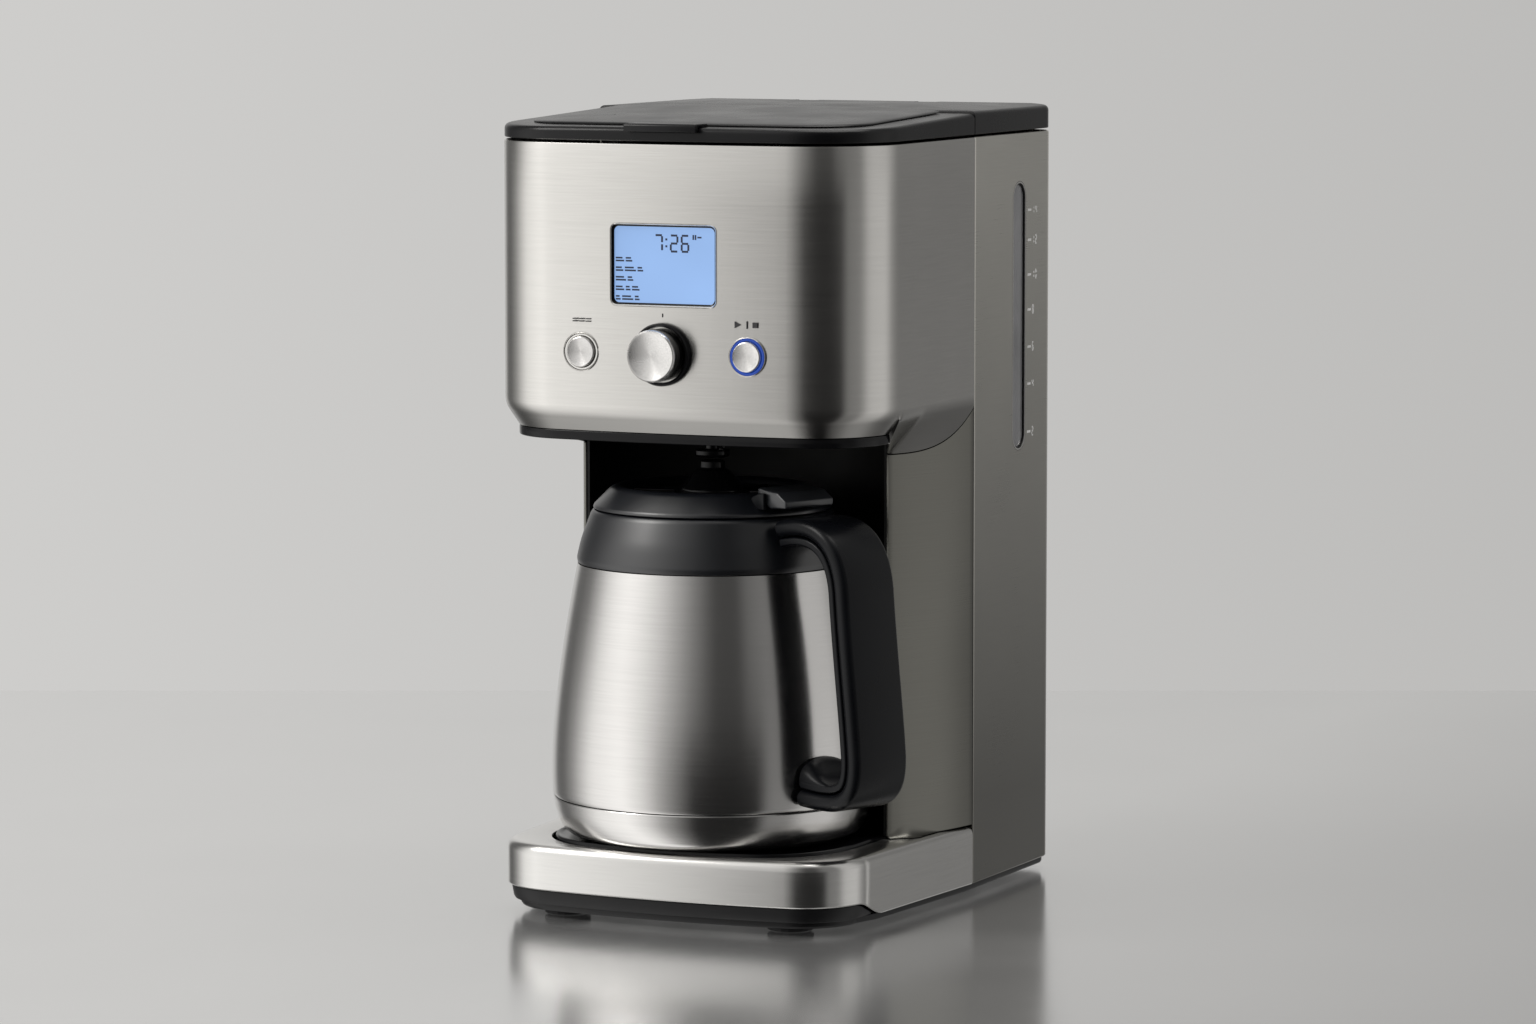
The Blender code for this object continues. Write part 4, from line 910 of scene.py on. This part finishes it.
def build_screen():
    loops = []
    for inset, y in ((-0.0001, 0.0016), (-0.0001, 0.0004), (0.0004, -0.0001), (0.0009, 0.0004),
                     (0.0009, 0.0016), (-0.0001, 0.0016)):
        loops.append([(x, y + 0.0003, z) for x, z in screen_outline(inset, 0.0038 - inset)])
    piece("screen_bezel", closed_loft(loops), "steel_trim", "machine")
    loops = []
    for inset, y in ((0.0009, 0.0024), (0.0009, 0.0013), (0.0018, 0.0019), (0.0018, 0.0024),
                     (0.0009, 0.0024)):
        loops.append([(x, y, z) for x, z in screen_outline(inset, 0.0026)])
    piece("screen_mask", closed_loft(loops), "gloss_black", "machine")
    low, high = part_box("lcd_lens")
    y0, y1 = low.y - ORIGIN.y, high.y - ORIGIN.y
    panel = rounded_rectangle(-0.0303, 0.0303, 0.3047, 0.3483, 0.0030, 6)
    piece("screen_panel", extrude(panel, y0, y1, "Y"), "screen", "machine", ["lcd_lens"])
    signs = []
    for x0, x1, z0, z1 in strokes("7:26", 0.0088, 0.0010):
        signs.append((x0 - 0.0055, x1 - 0.0055, z0 + 0.3328, z1 + 0.3328))
    signs += [(0.0150, 0.0158, 0.3392, 0.3416), (0.0162, 0.0170, 0.3392, 0.3416)]
    signs.append((0.0176, 0.0198, 0.3400, 0.3408))
    for row, widths in enumerate(((9, 7), (8, 12, 6), (11, 6), (9, 5, 8), (5, 12, 5))):
        x, z = -0.0265, 0.3278 - 0.0047 * row
        for width in widths:
            signs.append((x, x + 0.0005 * width, z, z + 0.0008))
            signs.append((x, x + 0.0004 * width, z + 0.0014, z + 0.0022))
            x += 0.0005 * width + 0.0009
    bars = [block((x0, y0 - 0.00012, z0), (x1, y0 - 0.00002, z1)) for x0, x1, z0, z1 in signs]
    piece("screen_signs", merged(bars), "screen_print", "machine")


def build_button(name, x, ring_finish):
    """A turned button in a collar, with a hair of shadow between them."""
    r, front = 0.0075, 0.0020
    profile = [(0, -0.0060), (0.0030, -0.0060), (0.0030, -0.0040), (r, -0.0032), (r, front - 0.0007)]
    profile += [(r - 0.0002, front - 0.0002), (r - 0.0006, front), (0.0060, front - 0.0002),
                (0.0030, front - 0.0006), (0, front - 0.0007)]
    shape = facing_front(lathe(profile, 96, False), x, BUTTON_Y, CONTROL_Z)
    piece(name + "_cap", shape, "spun", name + "_button", [name + "_button"])
    inner, outer = r + 0.0003, 0.0091
    ring = [(inner, -0.0030), (outer, -0.0030), (outer, 0.0002), (outer - 0.0003, 0.0006),
            (inner + 0.0003, 0.0006), (inner, 0.0002)]
    shape = facing_front(lathe(ring, 96), x, BUTTON_Y, CONTROL_Z)
    piece(name + "_collar", shape, ring_finish, "machine", [name + "_ring"])
    lip = [(outer + 0.0001, -0.0010), (outer + 0.0007, -0.0010), (outer + 0.0007, 0.0003),
           (outer + 0.0004, 0.0006), (outer + 0.0001, 0.0003)]
    shape = facing_front(lathe(lip, 96), x, BUTTON_Y - 0.0004, CONTROL_Z)
    piece(name + "_lip", shape, "steel_trim", "machine")


def build_dial():
    reach, body = 0.0145, 0.0128
    place = (0, 0, CONTROL_Z)
    face = [(body, reach - 0.0014), (body - 0.0002, reach - 0.0006), (body - 0.0008, reach),
            (body - 0.0016, reach - 0.0001), (body - 0.0024, reach - 0.0005), (0, reach - 0.0009),
            (0, reach - 0.0024), (body - 0.0030, reach - 0.0024), (body - 0.0002, reach - 0.0016)]
    shape = facing_front(lathe(face, 128, False), *place)
    piece("dial_face", shape, "spun", "dial")
    skirt = [(0, 0.0095), (0.0034, 0.0095), (0.0034, 0.0016), (body - 0.0004, 0.0016), (body, 0.0020)]
    skirt += [(body, reach - 0.0022), (body - 0.0006, reach - 0.0020), (body - 0.0040, reach - 0.0028),
              (0, reach - 0.0028)]
    shape = facing_front(lathe(skirt, 128, False), *place)
    piece("dial_skirt", shape, "knob_side", "dial", ["dial_cap"])
    bezel = [(0.0137, 0.0), (0.0155, 0.0), (0.0155, 0.0026), (0.0152, 0.0032), (0.0146, 0.0034),
             (0.0137, 0.0030)]
    piece("dial_collar", facing_front(lathe(bezel, 128), *place), "gloss_black", "machine",
          ["dial_bezel"])
    marks = [block((-0.0002, -0.00014, 0.3012), (0.0002, 0.0004, 0.3030))]
    for k in range(3):
        left, right = -0.0492 + 0.0036 * k, -0.0468 + 0.0036 * k
        marks += [block((left, 0.0006, z), (right, 0.0020, z + 0.0005)) for z in (0.2990, 0.2978)]
    marks.append(extrude([(0.0385, 0.2970), (0.0415, 0.2986), (0.0385, 0.3002)], 0.0005, 0.0020, "Y"))
    marks.append(block((0.0446, 0.0009, 0.2968), (0.0450, 0.0020, 0.3004)))
    marks.append(block((0.0478, 0.0010, 0.2973), (0.0504, 0.0022, 0.2999)))
    piece("head_marks", moved(merged(marks), y=-0.00025), "dark_print", "machine")


# ---------------------------------------------------------------- carafe


def on_axis(bm):
    return moved(bm, CARAFE.x, CARAFE.y)


def fillet(points, radius, steps=5):
    """A profile with its inner corners rounded."""
    rounded = [Vector(points[0])]
    for before, corner, after in zip(points, points[1:], points[2:]):
        before, corner, after = Vector(before), Vector(corner), Vector(after)
        reach = min(radius, (corner - before).length * 0.45, (after - corner).length * 0.45)
        start = corner + (before - corner).normalized() * reach
        end = corner + (after - corner).normalized() * reach
        rounded += bezier([start, corner, end], steps)
    rounded.append(Vector(points[-1]))
    return [(point[0], point[1]) for point in rounded]


LOWER_SEAM, COLLAR_SEAM = 0.0587, 0.1747
COLLAR_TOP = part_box("carafe_lid")[0].z + 0.012


def build_carafe():
    controls = [(0.0800, LOWER_SEAM), (0.0822, 0.0870), (0.0765, 0.1280), (0.0675, COLLAR_SEAM)]
    outer = [(p[0] - 0.00004, p[1]) for p in bezier(controls, 40)]
    outer[0] = (outer[0][0] - 0.0003, outer[0][1])
    inner = [(p[0] - 0.0010, p[1]) for p in reversed(bezier(controls, 40))]
    wall = outer[:1] + [(0.07996, LOWER_SEAM + 0.0004)] + outer[1:] + inner
    piece("carafe_wall", on_axis(lathe(wall)), "steel_carafe", "carafe", ["carafe_shell"])
    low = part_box("carafe_base")[0].z
    foot = [(0, low), (0.0680, low), (0.0745, low + 0.0022), (0.0782, low + 0.0100),
            (0.0798, LOWER_SEAM - 0.0012), (0.0795, LOWER_SEAM - 0.0006)]
    foot = fillet(foot, 0.0045, 6) + [(0.0784, LOWER_SEAM - 0.0006), (0.0768, low + 0.0104),
                                      (0.0734, low + 0.0036), (0.0675, low + 0.0012), (0, low + 0.0012)]
    piece("carafe_foot", on_axis(lathe(foot, FINE, False)), "steel_carafe", "carafe",
          ["carafe_base"])
    collar = [(0.0660, COLLAR_SEAM + 0.0003), (0.0673, COLLAR_SEAM + 0.0003), (0.0678, COLLAR_SEAM + 0.0028),
              (0.0656, 0.1870), (0.0607, COLLAR_TOP - 0.0022), (0.0594, COLLAR_TOP - 0.0005),
              (0.0480, COLLAR_TOP - 0.0005)]
    collar = fillet(collar, 0.0040, 5) + [(0.0478, 0.1960), (0.0573, 0.1900), (0.0645, COLLAR_SEAM + 0.0003)]
    piece("carafe_shoulder", on_axis(lathe(collar)), "collar_black", "carafe",
          ["carafe_collar"])


def handle_spot(radius, side, height):
    """A point given by its distance out along the handle, its offset sideways and its height."""
    radial = Vector((math.cos(HANDLE_ANGLE), math.sin(HANDLE_ANGLE), 0))
    across = Vector((-math.sin(HANDLE_ANGLE), math.cos(HANDLE_ANGLE), 0))
    return Vector((CARAFE.x, CARAFE.y, height)) + radial * radius + across * side


def outward_at(line, k):
    """The direction square to a line at one of its points."""
    ahead = line[min(k + 1, len(line) - 1)] - line[max(k - 1, 0)]
    ahead.normalize()
    return Vector((-ahead.y, ahead.x))


def handle_line(offset):
    """The handle's line from the collar, over and down, to the lower band. offset shifts it outwards."""
    line = bezier([(0.0665, 0.1945), (0.0920, 0.2010), (0.1052, 0.1900), (0.1077, 0.1690)], 22)
    line += bezier([(0.1077, 0.1690), (0.1102, 0.1400), (0.1152, 0.1080), (0.1167, 0.0880)], 20)[1:]
    line += bezier([(0.1167, 0.0880), (0.1174, 0.0675), (0.1070, 0.0665), (0.0818, 0.0685)], 22)[1:]
    return [point + outward_at(line, k) * offset for k, point in enumerate(line)]


def section_strap(line, half_width, inside, outside, corner, crown=0.0):
    """A bar along a line, round at its corners and a little crowned on its outer face."""
    loops = []
    for k, point in enumerate(line):
        outward = outward_at(line, k)
        plan = rounded_rectangle(-half_width, half_width, -inside, outside, corner, 5)
        loop = []
        for w, d in plan:
            if d > 0:
                d += crown * (1 - (w / half_width) ** 2) - crown
            spot = point + outward * d
            loop.append(handle_spot(spot.x, w, spot.y))
        loops.append(loop)
    return loft(loops)


def handle_rod(side, offset, radius):
    """A thin line of trim along the handle's inner face."""
    line = handle_line(offset)[3:-4]
    loops = []
    for k, point in enumerate(line):
        outward = outward_at(line, k)
        loop = []
        for w, d in arc(0, 0, radius, 0, 360, 8)[:-1]:
            spot = point + outward * d
            loop.append(handle_spot(spot.x, side + w, spot.y))
        loops.append(loop)
    return loft(loops)


def handle_pad():
    """The rounded root of the grip, where the handle meets the carafe's wall."""
    crest = [(0.0812, 0.0850), (0.0835, 0.0846), (0.0870, 0.0826), (0.0910, 0.0797), (0.0950, 0.0773),
             (0.1000, 0.0754), (0.1050, 0.0744)]
    loops = []
    for step in range(-10, 11):
        side = 0.0162 * math.sin(math.radians(9 * step))
        swell = max(0.12, math.cos(math.radians(9 * step)) ** 0.7)
        loop = [handle_spot(r, side, 0.0732 + (h - 0.0732) * swell) for r, h in crest]
        loops.append(loop + [handle_spot(0.1050, side, 0.0722), handle_spot(0.0812, side, 0.0722)])
    return loft(loops)


def build_handle():
    line = handle_line(0.0028)
    bar = section_strap(line, 0.0180, 0.0044, 0.0045, 0.0038, 0.0007)
    piece("handle_bar", bar, "handle_black", "carafe", ["carafe_handle"], sharp=50)
    line = handle_line(-0.0042)
    grip = section_strap(line, 0.0165, 0.0019, 0.0020, 0.0012)
    piece("handle_grip", grip, "handle_black", "carafe", ["carafe_grip"], sharp=50)
    piece("handle_root", handle_pad(), "handle_black", "carafe", sharp=60)
    rods = [handle_rod(side, -0.0062, 0.0004) for side in (-0.0146, 0.0146)]
    piece("handle_ribs", merged(rods), "gloss_black", "carafe", sharp=60)


def build_carafe_lid():
    low = COLLAR_TOP
    top = [(0.0590, low), (0.0596, low + 0.0004), (0.0592, low + 0.0018), (0.0505, low + 0.0106),
           (0.0472, low + 0.0116), (0.0442, low + 0.0102), (0.0425, low + 0.0072), (0.0165, low + 0.0070)]
    profile = [(0, low - 0.0120), (0.0446, low - 0.0120), (0.0446, low)] + fillet(top, 0.0022, 5)
    profile.append((0, low + 0.0070))
    piece("lid_crown", on_axis(lathe(profile, FINE, False)), "collar_black", "carafe_lid",
          ["carafe_lid"])
    outline = [(0.0490, 0.2060), (0.0582, 0.2060), (0.0582, 0.2142), (0.0545, 0.2142), (0.0490, 0.2120)]
    lugs = []
    for pair in ((-0.0188, -0.0166), (0.0166, 0.0188)):
        lugs.append(loft([[handle_spot(r, side, h) for r, h in outline] for side in pair]))
    piece("lid_lugs", merged(lugs), "handle_black", "carafe_lid", bevel=0.0006)
    hub = [(0.0160, low + 0.0072), (0.0160, low + 0.0096), (0.0085, low + 0.0188), (0.0063, low + 0.0194),
           (0.0062, low + 0.0236), (0.0044, low + 0.0236), (0.0036, low + 0.0204)]
    profile = [(0, low + 0.0072)] + fillet(hub, 0.0012, 4) + [(0, low + 0.0202)]
    piece("hub_cone", on_axis(lathe(profile, 96, False)), "gloss_black", "carafe_lid",
          ["lid_hub"])
    ribs = []
    for turn in range(0, 360, 60):
        a = math.radians(turn + 12)
        rib = block((0.0190, -0.0009, low + 0.0066), (0.0405, 0.0009, low + 0.0086))
        bmesh.ops.rotate(rib, verts=rib.verts, cent=(0, 0, 0), matrix=Matrix.Rotation(a, 3, "Z"))
        ribs.append(on_axis(rib))
    piece("lid_dish_ribs", merged(ribs), "gloss_black", "carafe_lid", bevel=0.0004)


def build_lever():
    """Thumb lever: a broad wedge with a dished top over the handle's root."""
    outline = [(0.0506, 0.2143), (0.0590, 0.2067), (0.0711, 0.2075), (0.0714, 0.2106), (0.0650, 0.2150),
               (0.0580, 0.2156), (0.0510, 0.2167)]
    outline = fillet(outline + outline[:1], 0.0010, 4)[:-1]
    loops = []
    middle = Vector((0.0605, 0.2112))
    for side, shrink in ((-0.0161, 0.0009), (-0.0158, 0.0003), (-0.0153, 0.0), (0.0153, 0.0),
                         (0.0158, 0.0003), (0.0161, 0.0009)):
        loop = []
        for r, h in outline:
            inward = (middle - Vector((r, h))).normalized() * shrink
            loop.append(handle_spot(r + inward.x, side, h + inward.y))
        loops.append(loop)
    bore = [[handle_spot(r, side, h) for r, h in arc(0.0560, 0.2128, 0.0012, 0, 360, 16)[:-1]]
            for side in (-0.02, 0.02)]
    piece("thumb_lever", loft(loops), "lever_black", "pour_lever", ["pour_lever"],
          cutter=loft(bore), sharp=40)


def build_valve():
    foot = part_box("drip_valve")[0].z
    profile = [(0.0076, foot), (0.0084, foot + 0.0004), (0.0088, foot + 0.0012), (0.0088, foot + 0.0033),
               (0.0084, foot + 0.0036), (0.0034, foot + 0.0042)]
    profile = [(0, foot)] + fillet(profile, 0.0005, 3)
    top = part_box("drip_valve")[1].z
    profile += [(0.0034, top - 0.0016), (0.0062, top - 0.0016), (0.0062, top), (0, top)]
    piece("valve_stem", on_axis(lathe(profile, 72, False)), "gloss_black", "drip_valve",
          ["drip_valve"])


# ---------------------------------------------------------------- the model's own nodes


def paint_nodes():
    """Finishes for the nodes whose shapes stay as they are."""
    plain = {
        "head_floor": "inner_black", "bulkhead": "inner_black", "lid_hinge_bracket": "black",
        "tank_hinge_bracket": "black", "dial_encoder": "black", "brew_chamber": "black",
        "brew_basket": "black", "shower_head": "black", "water_pump": "black", "cord_gland": "black",
        "drip_spring": "pin", "flow_heater": "flask", "carafe_flask": "flask", "brew_lid_pin": "pin",
        "tank_lid_pin": "pin", "lever_pin": "pin", "dial_shaft": "pin", "lcd_module": "board",
        "control_board": "board", "gold_filter": "gold", "water_tank": "tank", "riser_tube": "silicone",
        "shower_arm": "silicone", "lid_seal": "silicone",
    }
    for name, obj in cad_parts.items():
        finish = "rubber" if name.startswith("foot_") else plain.get(name, "black")
        obj.data.materials.clear()
        obj.data.materials.append(FINISHES[finish])


# ---------------------------------------------------------------- stage


CAMERA_PLACE = Vector((1.2546, -2.6388, 0.5040))
CAMERA_TURN = math.radians(24.42)
CAMERA_TILT = math.radians(5.83)
AHEAD = Vector((-math.sin(CAMERA_TURN), math.cos(CAMERA_TURN), 0))
ASIDE = Vector((math.cos(CAMERA_TURN), math.sin(CAMERA_TURN), 0))
FLOOR_START = 2.15
FLOOR_END = 3.81
FLOOR_LEFT = 1.1
FLOOR_RIGHT = 0.85


def add_camera():
    data = bpy.data.cameras.new("camera")
    data.lens = 140.6
    data.sensor_width = 36.0
    data.clip_start, data.clip_end = 0.05, 50.0
    camera = bpy.data.objects.new("camera", data)
    camera.location = CAMERA_PLACE + ORIGIN
    camera.rotation_euler = (math.pi / 2 - CAMERA_TILT, 0, CAMERA_TURN)
    bpy.context.scene.collection.objects.link(camera)
    bpy.context.scene.camera = camera


def stage_plane(name, corners, finish):
    bm = bmesh.new()
    bm.faces.new([bm.verts.new(corner) for corner in corners])
    mesh = bpy.data.meshes.new(name)
    bm.to_mesh(mesh)
    bm.free()
    mesh.materials.append(finish)
    obj = bpy.data.objects.new(name, mesh)
    obj.location = ORIGIN
    bpy.context.scene.collection.objects.link(obj)
    return obj


def add_stage():
    table = Finish("table_top", (0.80, 0.80, 0.80), 0.17, 0.82)
    cloud = table.noise((9, 9, 9), 5.0)
    table.tint(cloud, 0.985, 1.015)
    # Painted shade: the table top grows darker towards the machine's right, to half its brightness at X 0.75
    # m.
    table.paint_shade("X", 0.75, 0.05, 0.50)
    table.rough(cloud, 0.15, 0.20)
    start = Vector((CAMERA_PLACE.x, CAMERA_PLACE.y, 0)) + ASIDE * -0.2
    near, far = start + AHEAD * FLOOR_START, start + AHEAD * FLOOR_END
    left, right = ASIDE * FLOOR_LEFT, ASIDE * FLOOR_RIGHT
    floor = [near - left, near + right, far + right, far - left]
    stage_plane("table", floor, table.material).visible_glossy = False


def add_world():
    """Studio surroundings: brightness set by the compass direction, brighter overhead."""
    world = bpy.data.worlds.new("studio")
    bpy.context.scene.world = world
    world.use_nodes = True
    tree = world.node_tree
    place = add_node(tree, "TexCoord").outputs["Generated"]
    parts = add_node(tree, "SeparateXYZ", {0: place}).outputs
    back = add_node(tree, "Math", {0: parts["Y"], 1: -1.0}, operation="MULTIPLY").outputs[0]
    angle = add_node(tree, "Math", {0: parts["X"], 1: back}, operation="ARCTAN2").outputs[0]
    turn = world_range(tree, angle, -math.pi, math.pi)
    level = world_ramp(tree, turn, SURROUND)
    raised = world_ramp(tree, turn, SURROUND_RAISED)
    level = world_mix(tree, world_range(tree, parts["Z"], 0.0, 0.06), level, raised)
    overhead = world_range(tree, parts["Z"], 0.78, 0.97)
    colour = world_mix(tree, overhead, level, (0.85, 0.84, 0.82, 1.0))
    feed(tree, tree.nodes["Background"], {"Color": colour, "Strength": 1.0})


def world_range(tree, value, low, high):
    return add_node(tree, "MapRange", {"Value": value, "From Min": low, "From Max": high}).outputs[0]


def world_ramp(tree, turn, stops):
    made = add_node(tree, "ValToRGB", {0: turn})
    fill_ramp(made.color_ramp, stops)
    return made.outputs[0]


def world_mix(tree, factor, first, second):
    made = add_node(tree, "Mix", data_type="RGBA")
    feed(tree, made, {0: factor, 6: first, 7: second})
    return made.outputs[2]


# Degrees from straight ahead of the machine, positive to its right, and the brightness there.
SURROUND = (
    (-180, 0.44), (-164, 0.50), (-148, 0.62), (-134, 0.62), (-123, 0.17), (-110, 0.16), (-95, 0.40),
    (-72, 1.25), (-44, 1.50), (-26, 1.02), (-14, 0.52),
    (-2, 0.24), (10, 0.02), (58, 0.02), (66, 0.26), (84, 0.30), (98, 0.68), (124, 0.74), (138, 0.36),
    (154, 0.22), (166, 0.22), (180, 0.44),
)
# The same for directions a little above the horizon, which leaning walls mirror.
SURROUND_RAISED = (
    (-180, 0.44), (-164, 0.50), (-148, 0.64), (-134, 0.64), (-123, 0.18), (-110, 0.15), (-97, 0.19),
    (-84, 0.55), (-72, 1.04), (-62, 1.30),
    (-50, 1.42), (-36, 1.24), (-18, 0.90), (-5, 0.58), (8, 0.32), (20, 0.15), (27, 0.08), (45, 0.08),
    (53, 0.19), (66, 0.24), (84, 0.26), (94, 0.60), (106, 0.66), (125, 0.62),
    (150, 0.25), (166, 0.22), (180, 0.44),
)


def fill_ramp(ramp, stops):
    ramp.interpolation = "LINEAR"
    while len(ramp.elements) > 1:
        ramp.elements.remove(ramp.elements[-1])
    for index, (degrees, light) in enumerate(stops):
        position = (degrees + 180) / 360
        element = ramp.elements[0] if index == 0 else ramp.elements.new(position)
        element.position = position
        element.color = (light, light * 0.99, light * 0.97, 1.0)


def add_lamp(name, place, target, size, power):
    data = bpy.data.lights.new(name, "AREA")
    data.shape = "RECTANGLE"
    data.size, data.size_y = size
    data.energy = power
    data.color = (1.0, 0.98, 0.95)
    lamp = bpy.data.objects.new(name, data)
    lamp.location = Vector(place)
    lamp.rotation_euler = (Vector(target) - Vector(place)).to_track_quat("-Z", "Y").to_euler()
    bpy.context.scene.collection.objects.link(lamp)


def add_lights():
    add_lamp("key", (-1.6, -1.3, 1.9), (0, 0, 0.15), (1.0, 1.0), 22)
    add_lamp("top", (0.2, 0.4, 2.2), (0, 0, 0.2), (1.6, 1.2), 16)
    scene = bpy.context.scene
    scene.view_settings.view_transform = "Standard"
    scene.view_settings.look = "None"


def main():
    for build in (build_head, build_columns, build_base, build_plinth, build_mat, build_bay, build_rear,
                  build_window, build_brew_lid, build_tank_lid, build_screen, build_dial, build_carafe,
                  build_handle, build_carafe_lid, build_lever, build_valve):
        build()
    build_button("select", -BUTTON_X, "steel_trim")
    build_button("start", BUTTON_X, "ring_glow")
    paint_nodes()
    add_camera()
    add_stage()
    add_world()
    add_lights()
    bpy.context.view_layer.update()


main()
